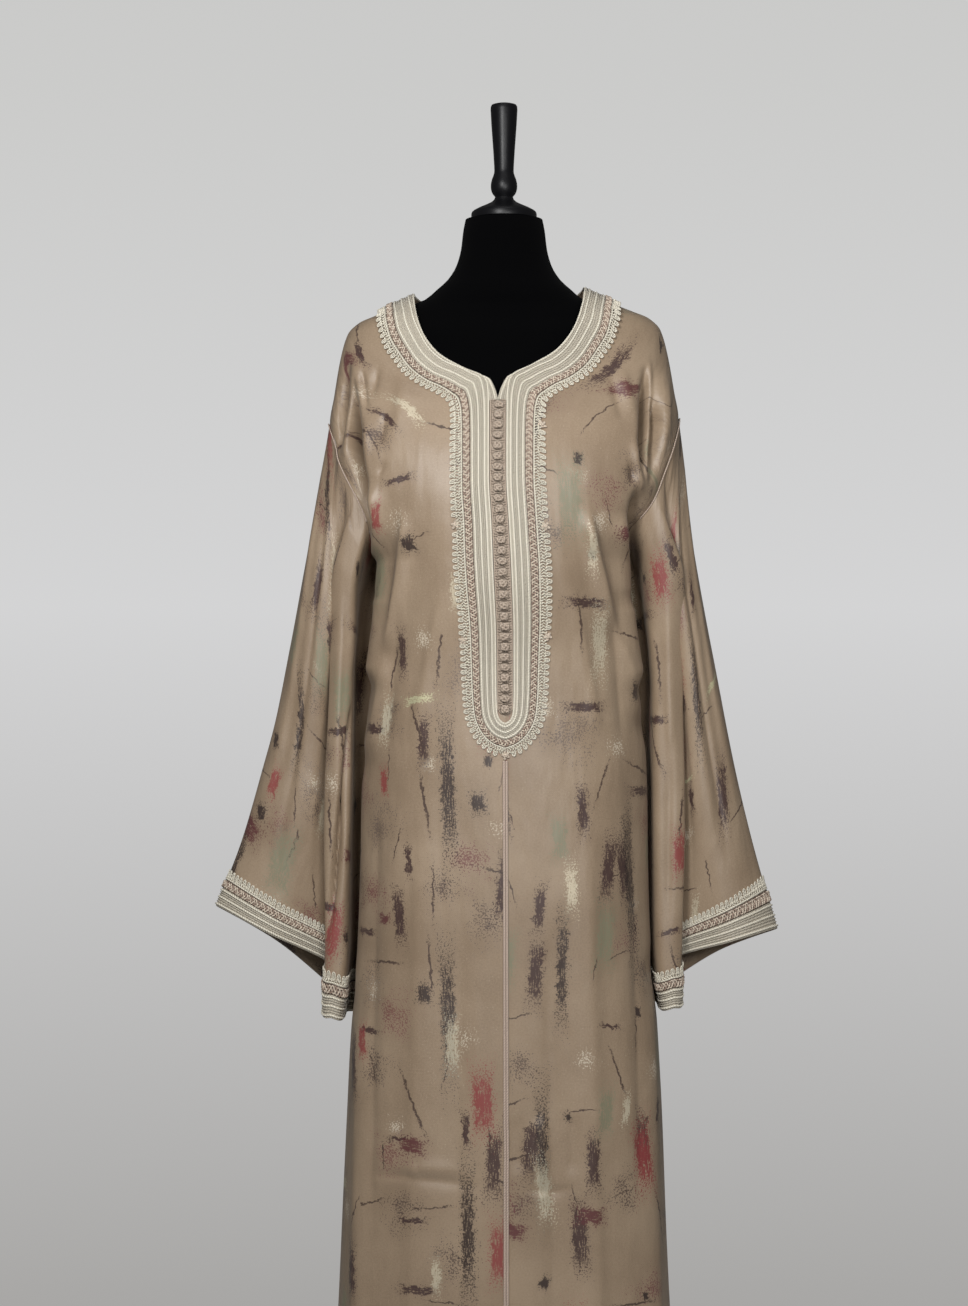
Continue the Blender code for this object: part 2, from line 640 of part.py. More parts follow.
def sleeve_section(side, share):
    """One section of a sleeve: outer fold, front layer, valley, underarm column, edge and back layer."""
    table = SLEEVES[side]
    sizes = {name: float(table.at(name, share)) for name in table.names}
    fold = np.array([sizes["fold_x"], 0.0, sizes["fold_z"]])
    valley = np.array([sizes["valley_x"], -sizes["valley"], sizes["valley_z"]])
    edge = np.array([sizes["edge_x"], -sizes["column"] * EDGE_FORWARD_SHARE, sizes["edge_z"]])
    beside_body = float(BODY.at("half_width", sizes["edge_z"]) + BODY_SPACES.at("space", share))
    inner = np.array([min(beside_body, sizes["edge_x"]), BODY_SIDE_DEPTH, sizes["edge_z"]])
    drop = np.array([0.0, 0.0, -BACK_LAYER_DROP * share])
    layer = (fold + valley) / 2
    layer[1] = -sizes["front"]
    column = (valley + edge) / 2
    column[1] = -sizes["column"]
    near = (valley + edge) / 2 + drop
    near[1] = sizes["back"] * BACK_NEAR_SHARE
    far = (valley + fold) / 2 + drop
    far[1] = sizes["back"]
    stations = [fold, layer, valley, column, edge, inner, near, far]
    ring = closed_ring(stations, SLEEVE_FRONT_STEPS + SLEEVE_BACK_STEPS)
    ring[:, 0] *= side
    return ring


def armhole(front_edge, back_edge):
    """The loop of an armhole, down its front and up its back, from the panels' last columns."""
    down_front = front_edge[FIRST_ARMHOLE_ROW:][::-1]
    up_back = back_edge[FIRST_ARMHOLE_ROW:]
    return np.concatenate([down_front[:-1], up_back[:-1]])


def sleeve_walls(side, front_edge, back_edge):
    """Sleeve rings from the armhole edge of the panels down to the cuff, outer and inner."""
    per_half = len(FRONT_ROWS.rows) - 1 - FIRST_ARMHOLE_ROW
    edge = armhole(front_edge, back_edge)
    edge[0, 1] = 0.0
    edge[per_half, 1] = 0.0
    first = sleeve_section(side, 0.0)
    outward = unit(np.array(SLEEVE_WAY_OUT) * (side, 1, 1))
    rings = []
    for share in SLEEVE_SHARES:
        section = sleeve_section(side, share)
        blend = np.clip(share / SLEEVE_HEAD_SHARE, 0, 1)
        blend = blend * blend * (3 - 2 * blend)
        moved = lean(section) * blend + (edge + section - first) * (1 - blend)
        rings.append(moved + outward * SEAM_GAP * (1 - blend))
    outer = np.array(rings)
    normals = ring_normals(outer)
    return outer, outer - normals * CLOTH, normals


def on_cloth(surface, point):
    """The nearest point of the panels and the way out of the cloth there."""
    place, normal, _, _ = surface.find_nearest(Vector(point))
    return np.array(place), np.array(normal)


def along_path(path, names, stations):
    return np.stack([path.at(name, stations) for name in names], axis=-1)


def spaced_stations(path, count):
    """Stations at even lengths along the outer edge of the band."""
    dense = np.linspace(path.rows[0, 0], path.rows[-1, 0], 900)
    line = along_path(path, ("outer_width", "outer_height"), dense)
    gone = np.concatenate([[0], np.cumsum(np.linalg.norm(np.diff(line, axis=0), axis=1))])
    return np.interp(np.linspace(0, gone[-1], count), gone, dense)


def stepped_stations(path):
    """Stations that cut each stretch of the path into its steps."""
    starts, steps = path.rows[:-1, 0], path.column("steps")[:-1].astype(int)
    inside = [start + np.arange(count) / count for start, count in zip(starts, steps)]
    return np.concatenate(inside + [path.rows[-1:, 0]])


def band_point(surface, width, height, facing, side):
    """A place on the cloth from its width off the centre line, its height and its way to face."""
    x = side * width + float(CENTRE.at("shift", height))
    depth = float(depth_share(np.array(x), np.array(height)))
    front = -float(BODY.at("front", height)) * depth
    back = float(BODY.at("back", height)) * depth
    y = front * max(0.0, -facing) + back * max(0.0, facing)
    return on_cloth(surface, (x, y, height + LEAN * x))


def band_grid(surface, shares_heights, stations):
    """Points of the neck band: rows round the whole loop, columns across it."""
    loop = [(station, 1) for station in stations] + [(station, -1) for station in stations[-2:0:-1]]
    places, ways, lifts = [], [], []
    for station, side in loop:
        inner = along_path(BAND_PATH, ("inner_width", "inner_height"), station)
        outer = along_path(BAND_PATH, ("outer_width", "outer_height"), station)
        facing = float(BAND_PATH.at("side", station))
        found = [band_point(surface, *(inner + share * (outer - inner)), facing, side)
                 for share, _ in shares_heights]
        places.append([place for place, _ in found])
        ways.append([way for _, way in found])
        lifts.append([height + float(BAND_LIFT.at("lift", station)) for _, height in shares_heights])
    ways = np.array(ways)
    for _ in range(WAY_SMOOTHINGS):
        ways = unit(np.roll(ways, 1, axis=0) + 2 * ways + np.roll(ways, -1, axis=0))
    return np.array(places) + ways * np.array(lifts)[..., None]


def turned_grid(grid):
    """A grid with its rows and columns changed over, so that its columns run along the trim."""
    return np.swapaxes(np.array(grid), 0, 1)


def toothed_edge(name, root, upper, lower, finish):
    """A scalloped ring: a wedge between a root line and the two faces of a stepped tip line."""
    rows = np.stack([root, upper, lower], axis=0)
    count = rows.shape[1]
    points = rows.reshape(-1, 3)
    faces = []
    for layer in range(3):
        other = (layer + 1) % 3
        for column in range(count):
            after = (column + 1) % count
            faces.append((layer * count + column, layer * count + after,
                          other * count + after, other * count + column))
    return add_mesh(name, points, faces, finish)


def turned(name, profile, finish, steps):
    """A piece turned on the stand's axis from its profile of radius and height."""
    mesh = bpy.data.meshes.new(name)
    points = [(radius, 0.0, height) for radius, height in profile]
    mesh.from_pydata(points, [(i, i + 1) for i in range(len(points) - 1)], [])
    mesh.materials.append(material(finish))
    piece = bpy.data.objects.new(name, mesh)
    part.objects.link(piece)
    screw = piece.modifiers.new("turn", "SCREW")
    screw.axis = "Z"
    screw.steps = steps
    screw.render_steps = steps
    screw.use_merge_vertices = True
    screw.merge_threshold = 0.00001
    screw.use_smooth_shade = True
    screw.use_normal_flip = True
    return piece


def cord(name, points, radius, finish):
    """A sewn cord through its points, with closed ends."""
    curve = bpy.data.curves.new(name, "CURVE")
    curve.dimensions = "3D"
    curve.bevel_depth = radius
    curve.bevel_resolution = 1
    curve.use_fill_caps = True
    spline = curve.splines.new("POLY")
    spline.points.add(len(points) - 1)
    for place, point in zip(spline.points, points):
        place.co = (*point, 1.0)
    curve.materials.append(material(finish))
    piece = bpy.data.objects.new(name, curve)
    part.objects.link(piece)
    return piece


# The dress form and its stand
def build_form():
    turns = np.linspace(0, 2 * math.pi, TORSO_SIDES, endpoint=False)
    rings = []
    for height in TORSO_RINGS:
        power = 2 / float(TORSO.at("squareness", height))
        width = float(TORSO.at("half_width", height))
        front, back = float(TORSO.at("front", height)), float(TORSO.at("back", height))
        across = np.sign(np.cos(turns)) * np.abs(np.cos(turns)) ** power * width
        deep = np.sign(np.sin(turns)) * np.abs(np.sin(turns)) ** power
        deep = np.where(deep < 0, deep * front, deep * back)
        rings.append(np.stack([across, deep, np.full(TORSO_SIDES, height)], axis=-1))
    points = np.concatenate(rings)
    faces = []
    for ring in range(len(rings) - 1):
        for column in range(TORSO_SIDES):
            after = (column + 1) % TORSO_SIDES
            faces.append((ring * TORSO_SIDES + column, ring * TORSO_SIDES + after,
                          (ring + 1) * TORSO_SIDES + after, (ring + 1) * TORSO_SIDES + column))
    faces.append(tuple(range(TORSO_SIDES))[::-1])
    last = (len(rings) - 1) * TORSO_SIDES
    faces.append(tuple(range(last, last + TORSO_SIDES)))
    add_mesh("form_torso", points, faces, "black_jersey")
    turned("neck_cap", CAP_PROFILE, "black_satin_paint", CAP_STEPS)
    turned("finial", FINIAL_PROFILE, "black_satin_paint", FINIAL_STEPS)
    turned("stand_base", PLATE_PROFILE, "black_painted_steel", PLATE_STEPS)
    foot = PLATE_PROFILE[-1][1] + SEAM_GAP
    top = TORSO_RINGS[0] - SEAM_GAP
    pole = ((0.0, foot), (POLE_RADIUS, foot), (POLE_RADIUS, top), (0.0, top))
    turned("stand_pole", pole, "black_painted_steel", POLE_STEPS)


# The cloth panels and sleeves
def build_cloth():
    fronts = {}
    front_ways = {}
    halves = {}
    for side in (-1, 1):
        points, normals = panel_grid(side, True)
        front_ways[side] = normals
        fronts[side] = panel_walls(points, normals, True, side)
        halves[side] = panel_grid(side, False)
        name = "front_left" if side < 0 else "front_right"
        shell(name, fronts[side][0], fronts[side][1], "caftan_cloth")
    back_points = np.concatenate([halves[-1][0][:, :0:-1], halves[1][0]], axis=1)
    back_normals = np.concatenate([halves[-1][1][:, :0:-1], halves[1][1]], axis=1)
    back = panel_walls(back_points, back_normals, False)
    shell("back", back[0], back[1], "caftan_cloth")
    sleeves = {}
    edges = {}
    for side in (-1, 1):
        walls = sleeve_walls(side, fronts[side][0][:, -1], back[0][:, ::side][:, -1])
        sleeves[side] = walls
        edges[side] = armhole(front_ways[side][:, -1], back_normals[:, ::side][:, -1])
        name = "sleeve_left" if side < 0 else "sleeve_right"
        shell(name, walls[0], walls[1], "caftan_cloth", ring=True)
    return fronts, back, sleeves, edges


def panel_surface(grids):
    """A search tree of the outer faces of the panels, each facing out."""
    points, faces = [], []
    for grid, flip in grids:
        start = len(points)
        rows, columns = grid.shape[:2]
        points.extend(Vector(point) for point in grid.reshape(-1, 3))
        for row in range(rows - 1):
            for column in range(columns - 1):
                corner = start + row * columns + column
                face = (corner, corner + 1, corner + columns + 1, corner + columns)
                faces.append(face[::-1] if flip else face)
    return BVHTree.FromPolygons(points, faces)


# The braid, scallops, buttons and cords sewn on the cloth
def build_neck_trim(surface):
    section = list(zip(BAND_SECTION.column("share"), BAND_SECTION.column("height") + BAND_OFFSET))
    stations = stepped_stations(BAND_PATH)
    outer = band_grid(surface, section, stations)
    inner = band_grid(surface, [(share, BAND_OFFSET) for share in BAND_UNDERSIDE_SHARES], stations)
    shell("neck_band", turned_grid(outer), turned_grid(inner), "cream_trim", ring=True)
    tooth = [
        (SCALLOP_START, BAND_OFFSET + SCALLOP_ROOT_LIFT),
        (1.0, BAND_OFFSET), (1.0, BAND_OFFSET + SCALLOP_THICKNESS),
        (SCALLOP_VALLEY, BAND_OFFSET), (SCALLOP_VALLEY, BAND_OFFSET + SCALLOP_THICKNESS),
    ]
    stations = spaced_stations(BAND_PATH, 2 * NECK_SCALLOPS_PER_HALF + 1)
    grid = turned_grid(band_grid(surface, tooth, stations))
    is_tip = (np.arange(grid.shape[1]) % 2 == 0)[:, None]
    upper = np.where(is_tip, grid[2], grid[4])
    lower = np.where(is_tip, grid[1], grid[3])
    toothed_edge("neck_scallops", grid[0], upper, lower, "cream_trim")


def build_buttons(surface):
    rows = FRONT_ROWS.column("inner_height")
    between = rows[(rows > STRIP_FOOT + STRIP_END_SPACE) & (rows < STRIP_TOP - STRIP_END_SPACE)]
    heights = np.concatenate([[STRIP_FOOT], between, [STRIP_TOP]])
    faces = []
    for level in (STRIP_OFFSET, STRIP_OFFSET + STRIP_THICKNESS):
        face = []
        for height in heights:
            row = []
            for side in (-1, 1):
                place, normal = band_point(surface, STRIP_HALF_WIDTH, height, -1, side)
                row.append(place + normal * level)
            face.append(row)
        faces.append(np.array(face))
    shell("button_strip", faces[1], faces[0], "cream_trim")
    strip_face = panel_surface([(faces[1], False)])
    for number in range(BUTTON_COUNT):
        height = BUTTON_TOP - number * BUTTON_PITCH
        place, normal = band_point(surface, 0.0, height, -1, 1)
        place, normal = on_cloth(strip_face, place + normal * (STRIP_OFFSET + STRIP_THICKNESS))
        reach = np.linalg.norm(np.array(BUTTON_SIZE) * normal)
        middle = place + normal * (SEAM_GAP + reach)
        shape = bmesh.new()
        bmesh.ops.create_uvsphere(shape, u_segments=6, v_segments=4, radius=1.0)
        bmesh.ops.scale(shape, vec=BUTTON_SIZE, verts=shape.verts)
        mesh = bpy.data.meshes.new(f"button_{number + 1:02d}")
        shape.to_mesh(mesh)
        shape.free()
        mesh.materials.append(material("tan_knots"))
        knot = bpy.data.objects.new(mesh.name, mesh)
        knot.location = middle
        part.objects.link(knot)


def build_front_seam(surface):
    widths = FRONT_SEAM_SECTION.column("across")
    rises = FRONT_SEAM_SECTION.column("height")
    top, under = [], []
    for height in np.linspace(FRONT_SEAM_TOP, FRONT_SEAM_FOOT, FRONT_SEAM_STEPS):
        place, normal = band_point(surface, 0.0, height, -1, 1)
        level = place + normal * BAND_OFFSET
        across = level + widths[:, None] * np.array([1.0, 0.0, 0.0])
        top.append(across + rises[:, None] * normal)
        under.append(across[[0, -1]])
    shell("front_seam_braid", turned_grid(top), turned_grid(under), "cream_trim")


def on_rows(rows, ways, share, lift):
    """A ring between the rows of a tube, at a share of the way down them and lifted off the cloth."""
    position = share * (len(rows) - 1)
    low = min(int(position), len(rows) - 2)
    t = position - low
    place = rows[low] * (1 - t) + rows[low + 1] * t
    way = unit(ways[low] * (1 - t) + ways[low + 1] * t)
    return place + way * lift


def build_cuff(label, outer, normals):
    """The band and scallops at the end of a sleeve."""
    band = SLEEVE_SHARES.index(CUFF_BAND_SHARE)
    tooth = SLEEVE_SHARES.index(CUFF_TOOTH_SHARE)
    rows, ways = outer[band:], normals[band:]
    section = zip(CUFF_SECTION.column("share"), CUFF_SECTION.column("height"))
    top = np.array([on_rows(rows, ways, share, lift) for share, lift in section])
    under = np.array([on_rows(rows, ways, share, CUFF_UNDERSIDE) for share in CUFF_UNDERSIDE_SHARES])
    shell(f"cuff_band_{label}", top, under, "cream_trim", ring=True)

    base = np.concatenate([outer[band], outer[band][:1]])
    gone = np.concatenate([[0], np.cumsum(np.linalg.norm(np.diff(base, axis=0), axis=1))])
    wanted = np.linspace(0, gone[-1], 2 * CUFF_SCALLOPS, endpoint=False)

    def around(ring):
        """Points at even lengths round a ring, on its straight sides."""
        return read_along(gone, np.concatenate([ring, ring[:1]]), wanted)

    near = around(outer[band])
    far = around(outer[tooth])
    way = unit(around(normals[tooth]))
    root = around(outer[band] + normals[band] * CUFF_SCALLOP_ROOT) + (far - near) * CUFF_SCALLOP_START
    is_tip = (np.arange(len(wanted)) % 2 == 0)[:, None]
    edge = np.where(is_tip, far, near + (far - near) * CUFF_SCALLOP_VALLEY)
    upper, lower = (edge + way * lift for lift in CUFF_SCALLOP_FACES)
    toothed_edge(f"cuff_scallops_{label}", root, upper, lower, "cream_trim")


def build_armhole_cord(label, ring, sleeve_ways, panel_ways):
    """The cord sewn round an armhole, in the angle between the panels and the sleeve."""
    middle_way = unit(unit(panel_ways) + sleeve_ways)
    spread = np.clip((middle_way * sleeve_ways).sum(axis=1, keepdims=True), 0.4, 1.0)
    seam = ring + middle_way * (ARMHOLE_CORD_RADIUS + ARMHOLE_CORD_SPACE) / spread
    underarm = len(seam) // 2
    seam = np.roll(seam, -underarm, axis=0)
    seam = seam[ARMHOLE_CORD_SHORT:len(seam) - ARMHOLE_CORD_SHORT + 1]
    cord(f"armhole_cord_{label}", seam, ARMHOLE_CORD_RADIUS, "cream_trim")


def build_sleeve_trim(sleeves, panel_edges):
    for side, (outer, _, normals) in sleeves.items():
        label = "left" if side < 0 else "right"
        build_cuff(label, outer, normals)
        build_armhole_cord(label, outer[0], normals[0], panel_edges[side])


build_form()
front_walls, back_walls, sleeve_rings, armhole_ways = build_cloth()
panels = panel_surface(
    [(front_walls[-1][0], True), (front_walls[1][0], False), (back_walls[0], True)]
)
build_neck_trim(panels)
build_buttons(panels)
build_front_seam(panels)
build_sleeve_trim(sleeve_rings, armhole_ways)
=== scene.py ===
"""A Moroccan caftan with braided front and cuffs, on a black limbless dress form with a round stand."""

import math

import bpy
import numpy as np
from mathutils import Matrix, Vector
from mathutils.bvhtree import BVHTree


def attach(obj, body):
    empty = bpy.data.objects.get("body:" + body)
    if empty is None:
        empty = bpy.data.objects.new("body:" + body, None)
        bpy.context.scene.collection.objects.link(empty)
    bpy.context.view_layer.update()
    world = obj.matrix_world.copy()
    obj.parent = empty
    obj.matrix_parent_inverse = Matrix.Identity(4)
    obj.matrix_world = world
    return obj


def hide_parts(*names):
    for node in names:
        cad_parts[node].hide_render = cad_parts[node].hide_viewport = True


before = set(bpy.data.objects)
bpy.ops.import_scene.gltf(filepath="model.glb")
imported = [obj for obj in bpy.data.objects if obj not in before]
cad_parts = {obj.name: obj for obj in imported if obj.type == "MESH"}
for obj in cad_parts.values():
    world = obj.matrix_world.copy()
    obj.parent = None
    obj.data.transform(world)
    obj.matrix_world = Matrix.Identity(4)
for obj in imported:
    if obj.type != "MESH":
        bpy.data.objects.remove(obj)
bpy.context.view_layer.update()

# The studio
# A pale round floor, a pale wall with painted shade that darkens it downwards, two wide soft lamps in front,
# a weak one above and one behind. The camera stands level with the hips, in front and slightly to the left.
FLOOR_RADIUS, FLOOR_SIDES = 0.66, 96
FLOOR_TONES = (0.3, (0.56, 0.56, 0.55)), (0.7, (0.62, 0.62, 0.61))
# The wall as the camera sees it, with painted light: brightest about level with the camera, shaded darker
# towards the floor and a little darker towards the top.
WALL_SHADED_TONES = (
    (0.05, (0.375, 0.368, 0.358)), (0.53, (0.655, 0.655, 0.66)), (0.87, (0.6, 0.6, 0.592)),
    (1.0, (0.585, 0.585, 0.578)),
)
ROOM_LIGHT = 0.10
LAMPS = (
    # name, place, where it points, width and height, watts
    ("key_softbox", (-0.56, -1.90, 1.95), (0.0, 0.0, 1.12), (0.50, 0.50), 28.5),
    ("fill_softbox", (0.36, -2.00, 1.40), (0.0, 0.0, 1.15), (0.7, 0.7), 18),
    ("top_softbox", (0.0, -0.9, 3.3), (0.0, 0.0, 1.2), (1.4, 1.0), 5),
    ("back_softbox", (0.5, 3.3, 1.6), (0.0, 0.0, 1.0), (1.4, 1.6), 46),
)
CAMERA_PLACE, CAMERA_LENS = (-0.026, -3.2, 1.027), 67.85


def node(tree, kind, inputs=(), **settings):
    """A shader node with its settings, and its inputs given as numbers or as other nodes' outputs."""
    made = tree.nodes.new("ShaderNode" + kind)
    for name, value in settings.items():
        setattr(made, name, value)
    for key, value in dict(inputs).items():
        if isinstance(value, bpy.types.NodeSocket):
            tree.links.new(value, made.inputs[key])
        else:
            made.inputs[key].default_value = value
    return made


def ramp(tree, factor, *stops):
    """A colour ramp through stops of position and colour."""
    made = node(tree, "ValToRGB", {"Fac": factor})
    points = made.color_ramp.elements
    while len(points) < len(stops):
        points.new(0.5)
    for point, (position, colour) in zip(points, stops):
        point.position = position
        point.color = (*colour, 1.0)
    return made.outputs["Color"]


class Finish:
    """A material with its Principled surface, and short ways to add the nodes that most finishes use."""

    def __init__(self, name, **numbers):
        self.material = bpy.data.materials.new(name)
        self.material.use_nodes = True
        self.tree = self.material.node_tree
        self.surface = self.tree.nodes["Principled BSDF"]
        for socket, value in numbers.items():
            self.surface.inputs[socket.replace("_", " ")].default_value = value

    def add(self, kind, inputs=(), output=0, **settings):
        return node(self.tree, kind, inputs, **settings).outputs[output]

    def math(self, operation, first, second=0.0, third=0.0):
        return self.add("Math", {0: first, 1: second, 2: third}, operation=operation)

    def vector(self, operation, first, second=(0.0, 0.0, 0.0)):
        key = "Scale" if operation == "SCALE" else 1
        return self.add("VectorMath", {0: first, key: second}, operation=operation)

    def noise(self, place, scale, detail, **more):
        return self.add("TexNoise", {"Vector": place, "Scale": scale, "Detail": detail}, **more)

    def span(self, value, low=0.0, high=1.0, to_low=0.0, to_high=1.0):
        """The value's place between low and high, given as one between the other two."""
        limits = {"From Min": low, "From Max": high, "To Min": to_low, "To Max": to_high}
        return self.add("MapRange", {"Value": value, **limits})

    def bump(self, height, strength, distance, **more):
        return self.add("Bump", {"Height": height, "Strength": strength, "Distance": distance, **more})

    def lead(self, **outputs):
        """Leads nodes' outputs into the surface's sockets."""
        for socket, output in outputs.items():
            self.tree.links.new(output, self.surface.inputs[socket.replace("_", " ")])


def placed(name, data):
    """A mesh, lamp or camera put into the scene."""
    made = bpy.data.objects.new(name, data)
    bpy.context.scene.collection.objects.link(made)
    return made


pale_floor = Finish("pale_floor", Roughness=0.7)
mottle = pale_floor.add("TexNoise", {"Scale": 3.0, "Detail": 4.0})
pale_floor.lead(Base_Color=ramp(pale_floor.tree, mottle, *FLOOR_TONES))
floor_mesh = bpy.data.meshes.new("floor")
floor_turns = np.linspace(0, 2 * math.pi, FLOOR_SIDES, endpoint=False)
floor_mesh.from_pydata([(FLOOR_RADIUS * math.cos(t), FLOOR_RADIUS * math.sin(t), 0.0) for t in floor_turns],
                       [], [tuple(range(FLOOR_SIDES))])
floor_mesh.materials.append(pale_floor.material)
placed("floor", floor_mesh)

room = bpy.data.worlds.new("room")
bpy.context.scene.world = room
room.use_nodes = True
sky = room.node_tree
sky.nodes.clear()
upward = node(sky, "SeparateXYZ", {"Vector": node(sky, "TexCoord").outputs["Generated"]}).outputs["Z"]
height = node(sky, "MapRange", {"Value": upward, "From Min": -0.30, "From Max": 0.30}).outputs["Result"]
wall = node(sky, "Background", {"Color": ramp(sky, height, *WALL_SHADED_TONES), "Strength": 1.0})
bounce = node(sky, "Background", {"Color": (1.0, 0.99, 0.97, 1.0), "Strength": ROOM_LIGHT})
seen = node(sky, "LightPath").outputs["Is Camera Ray"]
both = node(sky, "MixShader", {0: seen, 1: bounce.outputs[0], 2: wall.outputs[0]})
node(sky, "OutputWorld", {"Surface": both.outputs[0]})
bpy.context.scene.view_settings.view_transform = "Standard"

for lamp_name, place, target, size, power in LAMPS:
    lamp = bpy.data.lights.new(lamp_name, "AREA")
    lamp.shape = "RECTANGLE"
    lamp.size, lamp.size_y = size
    lamp.energy = power
    stand = placed(lamp_name, lamp)
    stand.location = place
    stand.rotation_euler = (Vector(target) - Vector(place)).to_track_quat("-Z", "Y").to_euler()
    stand.visible_camera = False
    stand.visible_glossy = place[1] < 0

camera = placed("camera", bpy.data.cameras.new("camera"))
camera.location = CAMERA_PLACE
camera.rotation_euler = (math.pi / 2, 0.0, 0.0)
camera.data.lens = CAMERA_LENS
bpy.context.scene.camera = camera

# The stand, neck cap and finial
# A round steel plate and pole painted black, and a turned wooden cap and finial in satin black paint.
# The pole screws into the plate and the form's underside; the cap closes the neck and carries the finial.
# Each profile gives radius and height, from the foot of the piece to its top.
CAP_PROFILE = (
    (0.0405, 1.5903), (0.0424, 1.5912), (0.0426, 1.5935), (0.0425, 1.5975), (0.0418, 1.5996), (0.04, 1.6012),
    (0.033, 1.605), (0.024, 1.609), (0.017, 1.6125), (0.013, 1.616), (0.0118, 1.619),
)
FINIAL_PROFILE = (
    (0.0114, 1.6193), (0.0124, 1.621), (0.0143, 1.623), (0.016, 1.6262), (0.017, 1.63), (0.0172, 1.634),
    (0.0169, 1.6378), (0.0158, 1.6424), (0.014, 1.647), (0.0128, 1.651), (0.0126, 1.6545), (0.0128, 1.66),
    (0.014, 1.68), (0.0153, 1.698), (0.0165, 1.715), (0.0175, 1.733), (0.0172, 1.737), (0.016, 1.7391),
    (0.013, 1.74),
)
PLATE_PROFILE = (
    (0.1835, 0.0), (0.185, 0.0012), (0.185, 0.0072), (0.184, 0.0088), (0.18, 0.011), (0.176, 0.012),
    (0.042, 0.0138), (0.035, 0.015), (0.031, 0.019), (0.029, 0.032), (0.027, 0.034),
)
POLE_PROFILE = (0.0155, 0.0343), (0.016, 0.0348), (0.016, 0.7447)
TURNED_SIDES = 72


def add_piece(name, points, faces, finish, stands_for, plane=None):
    """A mesh piece that rides with the form, in place of a solid. The plane gives each point its place
    on the flat cloth."""
    mesh = bpy.data.meshes.new(name)
    points = np.asarray(points, float).reshape(-1, 3)
    mesh.from_pydata(points.tolist(), [], [tuple(int(i) for i in face) for face in faces])
    mesh.polygons.foreach_set("use_smooth", [True] * len(mesh.polygons))
    if plane is not None:
        layer = mesh.uv_layers.new(name="cloth_plane")
        corners = np.empty(len(mesh.loops), dtype=np.int32)
        mesh.loops.foreach_get("vertex_index", corners)
        layer.data.foreach_set("uv", np.asarray(plane, float).reshape(-1, 2)[corners].ravel())
    mesh.materials.append(finish.material)
    mesh.update()
    piece = placed(name, mesh)
    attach(piece, "root")
    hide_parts(stands_for)
    return piece


def grid_faces(rows, columns, ring=False, flip=False):
    """Faces between the rows and columns of a grid of points; a ring closes round its columns."""
    row, column = np.meshgrid(np.arange(rows - 1), np.arange(columns if ring else columns - 1), indexing="ij")
    low, after = row * columns, (column + 1) % columns
    corners = [low + column, low + after, low + columns + after, low + columns + column]
    faces = np.stack([c.ravel() for c in corners], axis=-1)
    return faces[:, ::-1] if flip else faces


def turned_piece(name, profile, finish, stands_for):
    """A piece turned on the stand's axis, closed at both ends."""
    turns = np.linspace(0, 2 * math.pi, TURNED_SIDES, endpoint=False)
    points = [(r * math.cos(t), r * math.sin(t), z) for r, z in profile for t in turns]
    points += [(0, 0, profile[0][1]), (0, 0, profile[-1][1])]
    faces = grid_faces(len(profile), TURNED_SIDES, ring=True).tolist()
    low, last = len(profile) * TURNED_SIDES, (len(profile) - 1) * TURNED_SIDES
    for side in range(TURNED_SIDES):
        after = (side + 1) % TURNED_SIDES
        faces += [(low, after, side), (low + 1, last + side, last + after)]
    piece = add_piece(name, points, faces, finish, stands_for)
    piece.data.set_sharp_from_angle(angle=math.radians(38))


def painted(name, colour, roughness, grain):
    """Black paint with a faint orange-peel surface and slightly uneven gloss."""
    paint = Finish(name, Base_Color=(*colour, 1.0), Specular_IOR_Level=0.26)
    place = paint.add("TexCoord", output="Object")
    gloss = paint.span(paint.noise(place, 35.0, 5.0), to_low=roughness - 0.07, to_high=roughness + 0.10)
    paint.lead(Roughness=gloss, Normal=paint.bump(paint.noise(place, grain, 2.0), 0.15, 0.0004))
    return paint


satin_black = painted("black_satin_paint_finish", (0.0045, 0.0045, 0.0055), 0.36, 900.0)
steel_black = painted("black_painted_steel_finish", (0.012, 0.012, 0.013), 0.45, 1500.0)
turned_piece("neck_cap_turned", CAP_PROFILE, satin_black, "neck_cap")
turned_piece("finial_turned", FINIAL_PROFILE, satin_black, "finial")
turned_piece("base_plate_turned", PLATE_PROFILE, steel_black, "stand_base")
turned_piece("pole_turned", POLE_PROFILE, steel_black, "stand_pole")

# The dress form's body
# A padded torso without arms, covered in fine matte black jersey that is pulled smooth. The cover is
# seamed down the centre front and back, and it is tucked under the cap at the neck.
TORSO_ROWS, TORSO_COLUMNS = 130, 108
SEAM_SINK, SEAM_BREADTH = 0.0007, 0.0016


class Table:
    """Rows of sizes under named columns, read between the rows along a curve that never overshoots."""

    def __init__(self, names, *rows):
        self.names = names.split()
        self.rows = np.array(rows, float)

    def column(self, name):
        return self.rows[:, self.names.index(name)]

    def at(self, name, position):
        keys, values = self.rows[:, 0], self.column(name)
        steps = np.diff(keys)
        rises = np.diff(values) / steps
        slopes = np.concatenate([rises[:1], np.zeros(len(keys) - 2), rises[-1:]])
        before, after = rises[:-1], rises[1:]
        same_way = before * after > 0
        total = np.where(same_way, before + after, 1.0)
        slopes[1:-1] = np.where(same_way, 2 * before * after / total, 0.0)
        low = np.clip(np.searchsorted(keys, position, side="right") - 1, 0, len(keys) - 2)
        step = steps[low]
        t = np.clip((position - keys[low]) / step, 0.0, 1.0)
        start, end = slopes[low] * step, slopes[low + 1] * step
        ease = t * t * (3 - 2 * t)
        rise = (values[low + 1] - values[low]) * ease
        return values[low] + rise + start * t * (1 - t) ** 2 - end * t * t * (1 - t)


